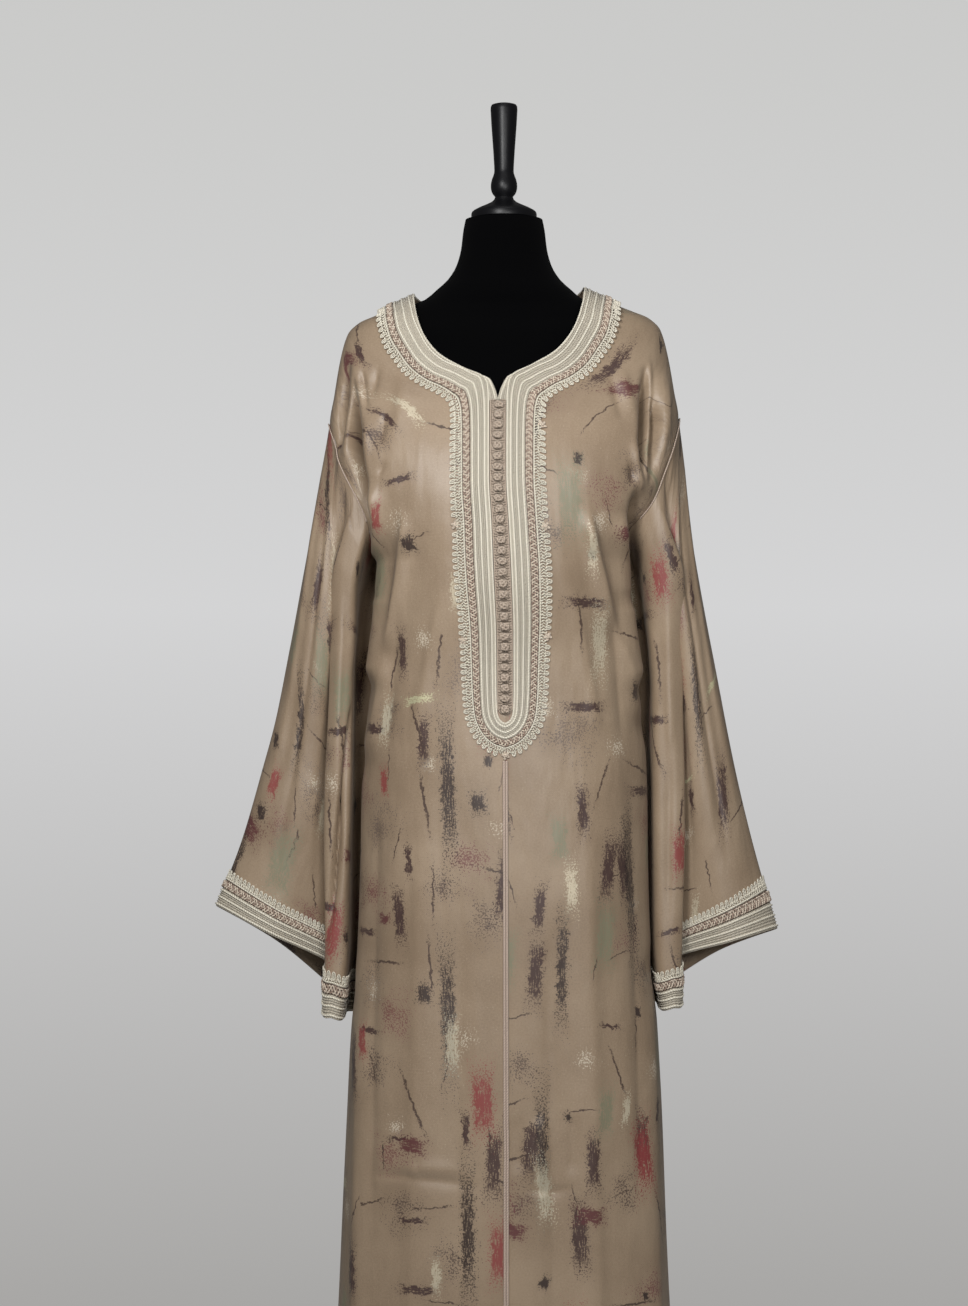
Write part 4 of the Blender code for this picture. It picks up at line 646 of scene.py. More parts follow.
class Satin(Finish):
    """The printed cloth. The offset moves the print, as each piece is cut from another part of the bolt."""

    def __init__(self, name, offset):
        super().__init__(name, Specular_IOR_Level=0.50, Sheen_Weight=0.06, Sheen_Roughness=0.45,
                         Sheen_Tint=(1.0, 0.93, 0.84, 1.0))
        plane = self.add("UVMap", uv_map="cloth_plane")
        self.place = self.vector("ADD", plane, (*offset, 0.0))
        flat = {"noise_dimensions": "2D"}
        rough = self.noise(self.place, 120.0, 3.0, output="Color", **flat)
        self.shift = self.vector("SUBTRACT", rough, (0.5, 0.5, 0.5))
        self.blotch = self.math("MULTIPLY", self.noise(self.place, 42.0, 3.0, **flat), 1.3)
        speck_sizes = {"Vector": self.place, "Scale": 430.0, "Detail": 3.0, "Roughness": 0.7}
        self.speck = self.add("TexNoise", speck_sizes, **flat)
        specks = self.math("MULTIPLY", self.speck, 0.4)
        self.ink_up = self.math("MULTIPLY_ADD", self.stretched_noise(760.0, 75.0), 0.6, specks)
        self.ink_across = self.math("MULTIPLY_ADD", self.stretched_noise(75.0, 760.0), 0.6, specks)
        cloud = self.math("MULTIPLY", self.noise(self.place, 9.0, 3.0, **flat), 0.55)
        grain = self.math("MULTIPLY_ADD", self.speck, 0.45, cloud)
        colour = ramp(self.tree, grain, (0.36, SATIN_DARK), (0.64, SATIN_LIGHT))
        for row in SPLATTERS:
            colour = self.printed(self.splatter_mask(*row[:4]), 0.80, colour, row[-1])
        for row in DABS:
            colour = self.printed(self.dab_mask(*row[:10]), 0.90, colour, row[-1])
        foil = 0.0
        for row in FOIL_DABS:
            mask = self.dab_mask(*row[:10])
            colour = self.printed(mask, 0.60, colour, row[-1])
            foil = self.math("MAXIMUM", foil, mask)
        threads = self.vector("SCALE", self.place, THREADS_PER_METRE)
        across, up, _ = node(self.tree, "SeparateXYZ", {"Vector": threads}).outputs
        weave = self.math("MULTIPLY", self.math("SINE", across), self.math("SINE", up))
        relief = self.math("MULTIPLY_ADD", weave, 0.35, self.stretched_noise(60.0, 900.0))
        waves = self.bump(self.stretched_noise(34.0, 13.0), 0.60, 0.0032)
        self.lead(
            Base_Color=colour, Roughness=self.span(foil, to_low=0.43, to_high=0.37),
            Metallic=self.span(foil, to_high=0.20), Normal=self.bump(relief, 0.32, 0.0003, Normal=waves),
        )

    def stretched_noise(self, across, up):
        """Noise that is drawn out along one way of the cloth."""
        stretched = self.vector("MULTIPLY", self.place, (across, up, 1.0))
        return self.noise(stretched, 1.0, 2.0, noise_dimensions="2D")

    def cell_of(self, place, cell, seed):
        """The patch of cloth that a mark belongs to: its own place in metres, and three random numbers."""
        moved = self.vector("ADD", self.vector("DIVIDE", place, (*cell, 1.0)), (*seed, 0.0))
        cells = node(self.tree, "TexVoronoi", {"Vector": moved, "Scale": 1.0, "Randomness": 0.80},
                     voronoi_dimensions="2D").outputs
        local = self.vector("MULTIPLY", self.vector("SUBTRACT", moved, cells["Position"]), (*cell, 0.0))
        return local, node(self.tree, "SeparateColor", {"Color": cells["Color"]}).outputs

    def dab_mask(self, cell_across, cell_up, half_across, half_up, least, most, tilt, wobble, ink, seed):
        """Where a layer of dry brush dabs lies: ragged bars, thinly inked towards their ends."""
        wavy = self.vector("ADD", self.place, self.vector("SCALE", self.shift, wobble))
        local, chance = self.cell_of(wavy, (cell_across, cell_up), seed)
        turn = self.math("MULTIPLY_ADD", chance["Red"], tilt * 2, -tilt)
        turned = self.add("VectorRotate", {"Vector": local, "Angle": turn}, rotation_type="Z_AXIS")
        size = self.math("MULTIPLY_ADD", chance["Green"], 0.85, 0.55)
        reach = self.vector("DIVIDE", self.vector("ABSOLUTE", turned), (half_across, half_up, 1.0))
        across, up, _ = node(self.tree, "SeparateXYZ", {"Vector": reach}).outputs
        furthest = self.math("DIVIDE", self.math("MAXIMUM", across, up), size)
        inside = self.span(furthest, 1.06, 0.90)
        along, drag = (up, self.ink_up) if half_up >= half_across else (across, self.ink_across)
        inked = self.span(self.math("MULTIPLY_ADD", along, -0.10, drag), ink - 0.12, ink - 0.06)
        there = self.math("COMPARE", chance["Blue"], (least + most) / 2, (most - least) / 2)
        over = self.math("SUBTRACT", self.speck, self.span(furthest, 0.9, 2.8, 0.47, 0.80))
        halo = self.span(over, high=0.05, to_high=HALO_STRENGTH)
        mark = self.math("MAXIMUM", self.math("MULTIPLY", inside, inked), halo)
        return self.math("MULTIPLY", mark, there)

    def splatter_mask(self, cell, radius, share, seed):
        """Where a layer of speckled patches lies: fine grains that thin out from the middle of each patch."""
        local, chance = self.cell_of(self.place, (cell, cell), seed)
        far = self.add("VectorMath", {0: local}, "Value", operation="LENGTH")
        far = self.math("MULTIPLY_ADD", far, 1 / radius, self.blotch)
        over = self.math("SUBTRACT", self.speck, self.span(far, 0.4, 1.7, 0.40, 0.72))
        kept = self.math("LESS_THAN", chance["Blue"], share)
        return self.math("MULTIPLY", self.span(over, high=0.04), kept)

    def printed(self, mask, strength, under, ink):
        """One ink laid over the colour under it where the mask says."""
        mix = node(self.tree, "Mix", data_type="RGBA", clamp_factor=True)
        self.tree.links.new(self.math("MULTIPLY", mask, strength), mix.inputs[0])
        self.tree.links.new(under, mix.inputs[6])
        mix.inputs[7].default_value = (*ink, 1.0)
        return mix.outputs[2]


satins = {
    panel: Satin("printed_satin_" + panel, offset)
    for panel, offset in (
        ("front_left", (0.31, 0.12)), ("front_right", (1.47, 0.55)), ("back", (2.83, 1.21)),
        ("sleeve_left", (4.19, 0.37)), ("sleeve_right", (5.61, 0.93)),
    )
}
skirt_rows = np.interp(
    np.linspace(HEM_HEIGHT, UNDERARM_HEIGHT, SKIRT_ROWS, endpoint=False),
    FRONT_ROWS.column("outer_height")[: FIRST_ARMHOLE_ROW + 1], np.arange(FIRST_ARMHOLE_ROW + 1),
)
armhole_rows = np.linspace(FIRST_ARMHOLE_ROW, LAST_ROW, (LAST_ROW - FIRST_ARMHOLE_ROW) * STEPS_PER_ROW + 1)
all_rows = np.concatenate([skirt_rows, armhole_rows])
fronts = {}
for side, panel in ((-1, "front_left"), (1, "front_right")):
    fronts[side] = panel_grid(side, True, all_rows, FRONT_COLUMNS, FRONT_CREASES[side])
    plane = flat_plane(fronts[side]) * (side, 1.0)
    hemmed_piece(panel, fronts[side], plane, np.array([0.0, 1.0, 0.0]), side < 0, satins[panel])

halves = {side: panel_grid(side, False, all_rows, BACK_COLUMNS, BACK_CREASES) for side in (-1, 1)}
half_planes = {side: flat_plane(halves[side]) * (-side, 1.0) for side in (-1, 1)}
back_points, back_plane = (
    np.concatenate([half[-1][:, :0:-1], half[1]], axis=1) for half in (halves, half_planes)
)
hemmed_piece("back", back_points, back_plane, np.array([0.0, -1.0, 0.0]), True, satins["back"])

# The sleeves
# Wide sleeves cut in one piece each, set into the armholes and seamed along the underside. They hang
# beside the body and fold on themselves, and the cuff is turned in and faced behind its braid.
SLEEVES = {
    -1: Table(
        "share fold_x fold_z valley_x valley_z edge_x edge_z",
        (0.0, 0.2262, 1.338, 0.1937, 1.2443, 0.16, 1.15),
        (0.16, 0.2444, 1.2261, 0.2067, 1.1481, 0.185, 1.0896),
        (0.31, 0.26, 1.1338, 0.2158, 1.0441, 0.1924, 1.0311),
        (0.46, 0.2756, 1.035, 0.221, 0.9471, 0.1963, 0.9466),
        (0.6, 0.2925, 0.9505, 0.2262, 0.8591, 0.1976, 0.8491),
        (0.73, 0.3146, 0.8725, 0.2288, 0.7811, 0.1976, 0.7516),
        (0.87, 0.3419, 0.7815, 0.2301, 0.7046, 0.1989, 0.6541),
        (1.0, 0.3744, 0.6996, 0.2327, 0.6346, 0.2093, 0.5553),
    ),
    1: Table(
        "share fold_x fold_z valley_x valley_z edge_x edge_z",
        (0.0, 0.2262, 1.318, 0.1898, 1.2352, 0.16, 1.145),
        (0.16, 0.2366, 1.2196, 0.2054, 1.1351, 0.179, 1.0805),
        (0.31, 0.2496, 1.1403, 0.2184, 1.0311, 0.187, 1.0181),
        (0.46, 0.2652, 1.048, 0.2262, 0.9471, 0.19, 0.9336),
        (0.6, 0.2821, 0.9661, 0.2301, 0.8591, 0.1915, 0.8426),
        (0.73, 0.3016, 0.8751, 0.2314, 0.7776, 0.1915, 0.7516),
        (0.87, 0.3224, 0.7867, 0.2301, 0.7061, 0.193, 0.6541),
        (1.0, 0.3549, 0.6697, 0.2275, 0.6424, 0.2045, 0.5683),
    ),
}
# How far each layer stands out from the sleeve's middle, at shares of the way down.
SLEEVE_DEPTHS = Table(
    "share front valley column back",
    (0.0, 0.058, 0.05, 0.04, 0.06), (0.16, 0.052, 0.034, 0.042, 0.05), (0.31, 0.046, 0.022, 0.042, 0.044),
    (0.46, 0.042, 0.016, 0.042, 0.04), (0.6, 0.038, 0.012, 0.042, 0.036), (0.73, 0.036, 0.01, 0.042, 0.034),
    (0.87, 0.034, 0.008, 0.042, 0.032), (1.0, 0.034, 0.006, 0.042, 0.032),
)
# How far the outer layer of each sleeve runs in behind the hanging fold, and how far that fold's
# outer side stands out, by the share down the sleeve.
HIDDEN = Table(
    "share behind left_out right_out",
    (0.0, 0.0, 0.0, 0.0), (0.08, 0.003, 0.010, 0.012), (0.16, 0.008, 0.015, 0.022),
    (0.31, 0.013, 0.008, 0.012), (0.46, 0.015, 0.0055, 0.005), (0.60, 0.016, 0.003, 0.002),
    (1.0, 0.017, 0.0, 0.0),
)
BACK_LAYER_DROP = 0.010
BACK_NEAR_SHARE, TUCK_DEPTH, TUCK_BEHIND, TUCK_SHARE = 0.9, 0.062, 0.006, 0.06
SLEEVE_STEPS_ROUND = (30, 22, 12, 10, 10, 8, 8, 30, 40, 30)
UNDERARM_STEP, SLEEVE_STEPS = sum(SLEEVE_STEPS_ROUND[:7]), sum(SLEEVE_STEPS_ROUND)
SLEEVE_HEAD_SHARE, SLEEVE_WAY_OUT, SEAM_GAP = 0.30, (0.70, 0.0, -0.10), 0.0003
SLEEVE_ROWS, STRETCH_STEPS = 200, 40
SLEEVE_LENGTH, CUFF_ROUND = 0.68, 0.60
FACING_ROWS, FACING_DEPTH, FACING_SPACE = 8, 0.075, 0.0016

# The creases of each sleeve, by the step round the sleeve from its outer fold and the share down it.
SLEEVE_CREASES = {
    -1: (
        (14, 0.06, 15, 0.4, 10, 0.88, 0.016, 0.0045, 0.16), (26, 0.1, 27, 0.45, 24, 0.9, 0.013, -0.004, 0.16),
        (38, 0.14, 38, 0.5, 38, 0.88, 0.013, 0.005, 0.14), (74, 0.14, 73, 0.4, 74, 0.66, 0.01, 0.004, 0.1),
        (82, 0.42, 76, 0.66, 66, 0.9, 0.006, -0.019, 0.1), (118, 0.1, 116, 0.5, 114, 0.9, 0.018, 0.006, 0.14),
        (145, 0.1, 147, 0.5, 150, 0.9, 0.018, -0.005, 0.16),
        (168, 0.12, 170, 0.5, 174, 0.9, 0.016, 0.005, 0.16),
    ),
    1: (
        (12, 0.05, 14, 0.42, 9, 0.86, 0.016, 0.004, 0.16), (24, 0.08, 26, 0.5, 22, 0.9, 0.014, -0.0045, 0.16),
        (36, 0.12, 37, 0.5, 36, 0.9, 0.013, 0.0045, 0.14), (74, 0.12, 74, 0.4, 73, 0.62, 0.01, 0.0045, 0.1),
        (72, 0.46, 75, 0.64, 74, 0.88, 0.008, -0.0035, 0.08),
        (116, 0.1, 118, 0.5, 116, 0.9, 0.018, 0.006, 0.14),
        (142, 0.12, 146, 0.52, 148, 0.88, 0.018, -0.005, 0.16),
        (170, 0.1, 168, 0.46, 172, 0.9, 0.016, 0.005, 0.16),
    ),
}


def closed_ring(stations, counts):
    """A smooth loop through stations; each stretch between two of them is cut into its count of steps."""
    t = np.linspace(0, 1, STRETCH_STEPS)[:, None]
    ring = []
    for number, count in enumerate(counts):
        a, b, c, d = (stations[(number + shift) % len(stations)] for shift in (-1, 0, 1, 2))
        stretch = 2 * b + (c - a) * t + (2 * a - 5 * b + 4 * c - d) * t**2 + (3 * b - a - 3 * c + d) * t**3
        gone = gone_along(stretch / 2)
        ring.append(read_along(gone, stretch / 2, np.linspace(0, gone[-1], count, endpoint=False)))
    return np.concatenate(ring)


def sleeve_section(side, share):
    """One section of a sleeve: the outer fold and layer, the hanging fold before it, and the back layer."""
    fold_x, fold_z, valley_x, valley_z, edge_x, edge_z = (
        float(SLEEVES[side].at(name, share)) for name in SLEEVES[side].names[1:]
    )
    front, valley_deep, hanging, back = (
        float(SLEEVE_DEPTHS.at(name, share)) for name in SLEEVE_DEPTHS.names[1:]
    )
    behind = float(HIDDEN.at("behind", share))
    stands_out = float(HIDDEN.at("left_out" if side < 0 else "right_out", share))
    fall, tucked = valley_z - edge_z, min(share / TUCK_SHARE, 1.0)
    fold = np.array([fold_x, 0.0, fold_z])
    valley = np.array([valley_x - behind, behind * 0.6 - valley_deep, valley_z - fall * 0.25])
    side_fall = fall * (0.55 * share + 0.33 * share**3)
    side_fold = np.array([valley_x + stands_out, -hanging * 0.82, valley_z - side_fall])
    edge = np.array([edge_x, -hanging * 0.78, edge_z])
    inner_x = float(BODY.at("half_width", edge_z)) + 0.002 * (1 - tucked) - TUCK_BEHIND * tucked
    inner = np.array([min(inner_x, edge_x), 0.004 + (TUCK_DEPTH - 0.004) * tucked, edge_z])
    wall = (edge + inner) / 2
    wall[:2] += (np.array([edge_x - 0.002, 0.042]) - wall[:2]) * tucked
    drop = np.array([0.0, 0.0, -BACK_LAYER_DROP * share])
    layer = (fold + np.array([valley_x, 0.0, valley_z])) / 2
    column, near, far = (side_fold + edge) / 2, (valley + edge) / 2 + drop, (valley + fold) / 2 + drop
    layer[1], column[1] = -front, -hanging - 0.004 * tucked
    near[1], far[1] = back * BACK_NEAR_SHARE + 0.026 * tucked, back + 0.006 * tucked
    corners = [fold, layer, valley, side_fold, column, edge, wall, inner, near, far]
    ring = closed_ring(corners, SLEEVE_STEPS_ROUND)
    ring[:, 0] *= side
    return ring


def ring_normals(rings):
    """Normals of a tube of rings, out of the tube also where it folds in on itself."""
    around = np.concatenate([rings[:, -1:], rings, rings[:, :1]], axis=1)
    normals = unit(np.cross(np.gradient(around, axis=0), np.gradient(around, axis=1)))[:, 1:-1]
    outward = rings - rings.mean(axis=1, keepdims=True)
    return normals * np.sign((normals * outward).sum())


def sleeve_rings(side):
    """Rings of a sleeve from the armhole down to the cuff, and the way out of the cloth at each point."""
    front_edge, back_edge = fronts[side][SKIRT_ROWS:, -1], halves[side][SKIRT_ROWS:, -1]
    edge = np.concatenate([front_edge[::-1][:-1], back_edge[:-1]])
    edge[0, 1] = edge[UNDERARM_STEP, 1] = 0.0
    first = sleeve_section(side, 0.0)
    outward = unit(np.array(SLEEVE_WAY_OUT) * (side, 1, 1))
    shares = np.linspace(0, 1, SLEEVE_ROWS)
    rings = []
    for share in shares:
        section = sleeve_section(side, share)
        blend = eased(min(share / SLEEVE_HEAD_SHARE, 1.0))
        rings.append(lean(section) * blend + (edge + section - first + outward * SEAM_GAP) * (1 - blend))
    rings = np.array(rings)
    steps, down = np.meshgrid(np.arange(SLEEVE_STEPS), shares)
    step = CUFF_ROUND / SLEEVE_STEPS
    sizes = np.array([step, SLEEVE_LENGTH] * 3 + [1, 1, 1])
    rise = crease_rise(np.array(SLEEVE_CREASES[side]) * sizes, steps * step, down * SLEEVE_LENGTH)
    turn = steps / SLEEVE_STEPS * 2 * math.pi
    rise += 0.0010 * np.sin(3 * turn + 5 * down + side)
    rise += 0.0007 * np.sin(7 * turn - 9 * down) + 0.0006 * np.sin(2 * turn + 16 * down)
    rise *= np.clip(down / 0.10, 0, 1)
    rings = rings + ring_normals(rings) * rise[..., None]
    return rings, ring_normals(rings)


sleeves = {}
for side, panel in ((-1, "sleeve_left"), (1, "sleeve_right")):
    rings, ways = sleeves[side] = sleeve_rings(side)
    facing = [rings[-1] + ways[-1] * -FACING_SPACE * 0.6 + (rings[-1] - rings[-2]) * 0.2]
    for number in range(FACING_ROWS):
        row = -1 - round(number / (FACING_ROWS - 1) * FACING_DEPTH / SLEEVE_LENGTH * SLEEVE_ROWS)
        facing.append(rings[row] - ways[row] * FACING_SPACE)
    opened = np.roll(np.concatenate([rings, facing]), -UNDERARM_STEP, axis=1)
    opened = np.concatenate([opened, opened[:, :1]], axis=1)
    around = flat_plane(opened)[..., 0]
    around -= around[:, -1:] / 2
    down = gone_along(opened.mean(axis=1))
    plane = np.stack([around, np.broadcast_to(-down[:, None], around.shape)], axis=-1)
    cloth_piece(panel, opened, plane, side > 0, satins[panel])

# The neck band
# Flat braids and twisted cords of cream and greige rayon, sewn side by side on the satin with a
# plaited pinkish-brown braid outside them. The band runs round the neck and down both sides of the front.
BAND_PATH = Table(
    "station inner_width inner_height outer_width outer_height side",
    (0, 0.0, 1.474, 0.0, 1.43, 1), (1, 0.048, 1.4765, 0.064, 1.436, 1), (2, 0.088, 1.487, 0.122, 1.456, 1),
    (3, 0.1062, 1.498, 0.154, 1.479, 0), (4, 0.1024, 1.4689, 0.15, 1.43, -1),
    (5, 0.0927, 1.4412, 0.1345, 1.401, -1), (6, 0.0808, 1.4205, 0.117, 1.3785, -1),
    (7, 0.0634, 1.4047, 0.098, 1.364, -1), (8, 0.0425, 1.3948, 0.081, 1.3555, -1),
    (9, 0.027, 1.3862, 0.069, 1.347, -1), (10, 0.0155, 1.379, 0.062, 1.338, -1),
    (11, 0.0108, 1.347, 0.0605, 1.3226, -1), (12, 0.0106, 1.298, 0.0607, 1.2755, -1),
    (13, 0.0106, 1.243, 0.0607, 1.226, -1), (14, 0.0106, 1.194, 0.06, 1.185, -1),
    (15, 0.0106, 1.1448, 0.0588, 1.144, -1), (16, 0.0106, 1.095, 0.0577, 1.095, -1),
    (17, 0.0106, 1.04, 0.0563, 1.04, -1), (18, 0.0106, 0.985, 0.0545, 0.985, -1),
    (19, 0.0098, 0.955, 0.051, 0.948, -1), (20, 0.007, 0.945, 0.039, 0.92, -1),
    (21, 0.0035, 0.9415, 0.019, 0.901, -1), (22, 0.0003, 0.94, 0.0007, 0.894, -1),
)
BAND_LIFT = Table(
    "station lift",
    (0, 0.0003), (1, 0.0012), (2, 0.0023), (3, 0.0020), (3.6, 0.0050), (4, 0.0030), (5, 0.0010), (8, 0.0003),
    (11, 0.0003), (12, 0.0008), (14, 0.0008), (16, 0.0002), (22, 0.0),
)
# Where each row of the trim lies, as a share of the way across the band from the neck edge outwards.
BAND_ZONES = Table(
    "station ridge_1 ridge_2 ridge_3 braid_start braid_end line scallop_end",
    (0, 0.165, 0.35, 0.535, 0.585, 0.755, 0.785, 0.905), (9, 0.165, 0.35, 0.535, 0.585, 0.755, 0.785, 0.905),
    (12, 0.115, 0.265, 0.415, 0.47, 0.665, 0.695, 0.88), (22, 0.115, 0.265, 0.415, 0.47, 0.665, 0.695, 0.88),
)
# Half the width of the slit at the bottom of the neck opening, up its two corded edges.
NOTCH = Table(
    "height half_width",
    (1.344, 0.0004), (1.354, 0.003), (1.364, 0.0068), (1.374, 0.0122), (1.379, 0.0156),
)
NOTCH_ROWS, NOTCH_COLUMNS = 26, 7
STATIONS_PER_HALF, SHARES_ACROSS = 430, 23
RIBBON_LIFT = 0.0012
RIDGE_RADIUS, FINE_RADIUS, EDGE_RADIUS, STRAND_RADIUS = 0.00135, 0.00088, 0.00120, 0.00102
CORD_STEP, PLAIT_STEP, PLAIT_PITCH = 0.0020, 0.0011, 0.0106


class Trim:
    """Places on the cloth along a trim and across it, with the way out of the cloth at each of them."""

    def __init__(self, places, ways, ring, measured_at=0.5):
        if ring:
            places, ways = (np.concatenate([grid, grid[:1]]) for grid in (places, ways))
        self.places, self.ways, self.ring = places, ways, ring
        self.gone = gone_along(places[:, round(measured_at * (places.shape[1] - 1))])
        self.length = self.gone[-1]

    def stations(self, along):
        """Positions in the rows of places, for lengths along the trim."""
        along = np.mod(along, self.length) if self.ring else along
        return np.interp(along, self.gone, np.arange(len(self.gone)))

    def at(self, along, share, lift=0.0):
        """Points at lengths along the trim, shares across it and lifts off the cloth, with the ways out."""
        along, share, lift = np.broadcast_arrays(np.asarray(along, float), share, lift)
        row = np.clip(self.stations(along), 0, len(self.places) - 1.001)
        column = np.clip(share, 0, 1) * (self.places.shape[1] - 1.001)
        i, j = row.astype(int), column.astype(int)
        a, b = (row - i)[..., None], (column - j)[..., None]

        def read(grid):
            near = grid[i, j] * (1 - b) + grid[i, j + 1] * b
            return near * (1 - a) + (grid[i + 1, j] * (1 - b) + grid[i + 1, j + 1] * b) * a

        way = unit(read(self.ways))
        return read(self.places) + way * lift[..., None], way


class Sewing:
    """Collects cords, ribbons and loops that are sewn on as one piece."""

    def __init__(self):
        self.points, self.faces, self.plane, self.count = [], [], [], 0

    def add(self, points, faces, plane):
        points = np.asarray(points).reshape(-1, 3)
        self.points.append(points)
        self.plane.append(np.asarray(plane).reshape(-1, 2))
        self.faces.append(np.asarray(faces) + self.count)
        self.count += len(points)

    def ribbon(self, points):
        """A flat strip of rows of points."""
        self.add(points, grid_faces(*points.shape[:2]), flat_plane(points))

    def cords(self, lines, ways, radius, sides=6, flatness=1.0):
        """Round cords along lines of points, each with the way out of the cloth."""
        if lines.ndim == 2:
            lines, ways = lines[None], ways[None]
        way_along = unit(np.gradient(lines, axis=1))
        across = unit(np.cross(way_along, ways))
        upward = unit(np.cross(across, way_along))
        turns = np.arange(sides) / sides * 2 * math.pi
        radius = np.broadcast_to(radius, lines.shape[:2])[..., None, None]
        ring = np.cos(turns)[:, None] * across[:, :, None]
        ring = ring + np.sin(turns)[:, None] * flatness * upward[:, :, None]
        points = lines[:, :, None] + radius * ring
        gone = flat_plane(lines)[..., :1] + 0 * turns
        girth = np.broadcast_to(turns / (2 * math.pi) * 0.01, gone.shape)
        one = grid_faces(lines.shape[1], sides, ring=True)
        shift = np.arange(len(lines))[:, None, None] * lines.shape[1] * sides
        self.add(points, (one[None] + shift).reshape(-1, 4), np.stack([gone, girth], axis=-1))

    def sewn_on(self, name, finish, stands_for, slot="cream_trim"):
        points, faces, plane = (np.concatenate(grid) for grid in (self.points, self.faces, self.plane))
        add_piece(name, points, faces, finish, stands_for, plane)


def thread(name, groove_shade, crown, twist):
    """Twisted rayon thread: slanting plies along the cord, with painted shade that darkens the grooves
    between the plies and leaves their crowns lighter.
    """
    rayon = Finish(name, Roughness=0.42, Specular_IOR_Level=0.35, Sheen_Weight=0.18, Sheen_Roughness=0.5)
    place = rayon.add("UVMap", uv_map="cloth_plane")
    along, round_it, _ = node(rayon.tree, "SeparateXYZ", {0: place}).outputs
    slant = rayon.math("MULTIPLY", round_it, math.pi / 0.005)
    slant = rayon.math("MULTIPLY_ADD", along, math.pi / twist, slant)
    ply = rayon.math("ABSOLUTE", rayon.math("SINE", slant))
    place = rayon.vector("SCALE", rayon.add("TexCoord", output="Object"), 5200.0)
    fuzz = rayon.math("MULTIPLY", rayon.noise(place, 1.0, 2.0), 0.25)
    tone = rayon.math("SUBTRACT", rayon.math("MULTIPLY_ADD", ply, 0.50, fuzz), 0.22)
    tone = rayon.math("MULTIPLY_ADD", rayon.noise(place, 0.16, 1.0), 0.80, tone)
    # The ramp paints shade into the grooves: the groove colour where a ply dips, the crown colour on its top.
    rayon.lead(Base_Color=ramp(rayon.tree, tone, (0.20, groove_shade), (0.74, crown)),
               Normal=rayon.bump(rayon.math("ADD", ply, fuzz), 0.55, 0.0004))
    return rayon


cream_thread = thread("cream_rayon_thread", (0.38, 0.345, 0.275), (0.80, 0.75, 0.625), 0.0034)
greige_thread = thread("greige_rayon_thread", (0.19, 0.164, 0.127), (0.56, 0.51, 0.415), 0.0026)
# A near-black thread for the ribbon under the plait: painted shade that shows between the plait's strands.
plait_shade_thread = thread("plait_shade_dark_thread", (0.045, 0.030, 0.022), (0.14, 0.098, 0.072), 0.0020)
brown_thread = thread("pinkish_brown_rayon_thread", (0.140, 0.092, 0.068), (0.38, 0.275, 0.212), 0.0026)
tan_thread = thread("tan_rayon_thread", (0.25, 0.190, 0.143), (0.72, 0.61, 0.49), 0.0028)


def cloth_tree(*grids):
    """A search tree of the cloth's surface, for laying trim on it; each grid's faces look outwards."""
    points, faces, count = [], [], 0
    for grid, flip in grids:
        points.append(grid.reshape(-1, 3))
        faces.append(grid_faces(*grid.shape[:2], flip=flip) + count)
        count += len(points[-1])
    return BVHTree.FromPolygons(np.concatenate(points).tolist(), np.concatenate(faces).tolist())


body_cloth = cloth_tree((fronts[-1], True), (fronts[1], False), (back_points, True))


def body_places(across, height, facing):
    """The cloth's places and ways out at distances off the centre line, on the front (-1) or the back (1)."""
    across, height, facing = np.broadcast_arrays(across, height, facing)
    x = across + CENTRE.at("shift", height)
    depth = BODY.at("back", height) * np.maximum(facing, 0)
    depth = depth - BODY.at("front", height) * np.maximum(-facing, 0)
    starts = np.stack([x, depth * depth_share(x, height), height + LEAN * x], axis=-1)
    places, ways = np.empty_like(starts), np.empty_like(starts)
    for index in np.ndindex(x.shape):
        places[index], ways[index] = body_cloth.find_nearest(Vector(starts[index]))[:2]
    return places, ways


def softened(ways, times, ring=False):
    """The ways out of the cloth, evened out between neighbours along and across a trim."""
    for _ in range(times):
        long = np.pad(ways, ((1, 1), (0, 0), (0, 0)), mode="wrap" if ring else "edge")
        wide = np.pad(ways, ((0, 0), (1, 1), (0, 0)), mode="edge")
        ways = unit(long[:-2] + long[2:] + wide[:, :-2] + wide[:, 2:] + 2 * ways)
    return ways


# The plait's ground is a dark ribbon that paints the shade between the plait's strands.
BAND_FINISHES = (
    ("cream_cords", cream_thread), ("greige_braid", greige_thread), ("plait_shade_ground", plait_shade_thread),
    ("brown_plait", brown_thread), ("tan_plait", tan_thread),
)


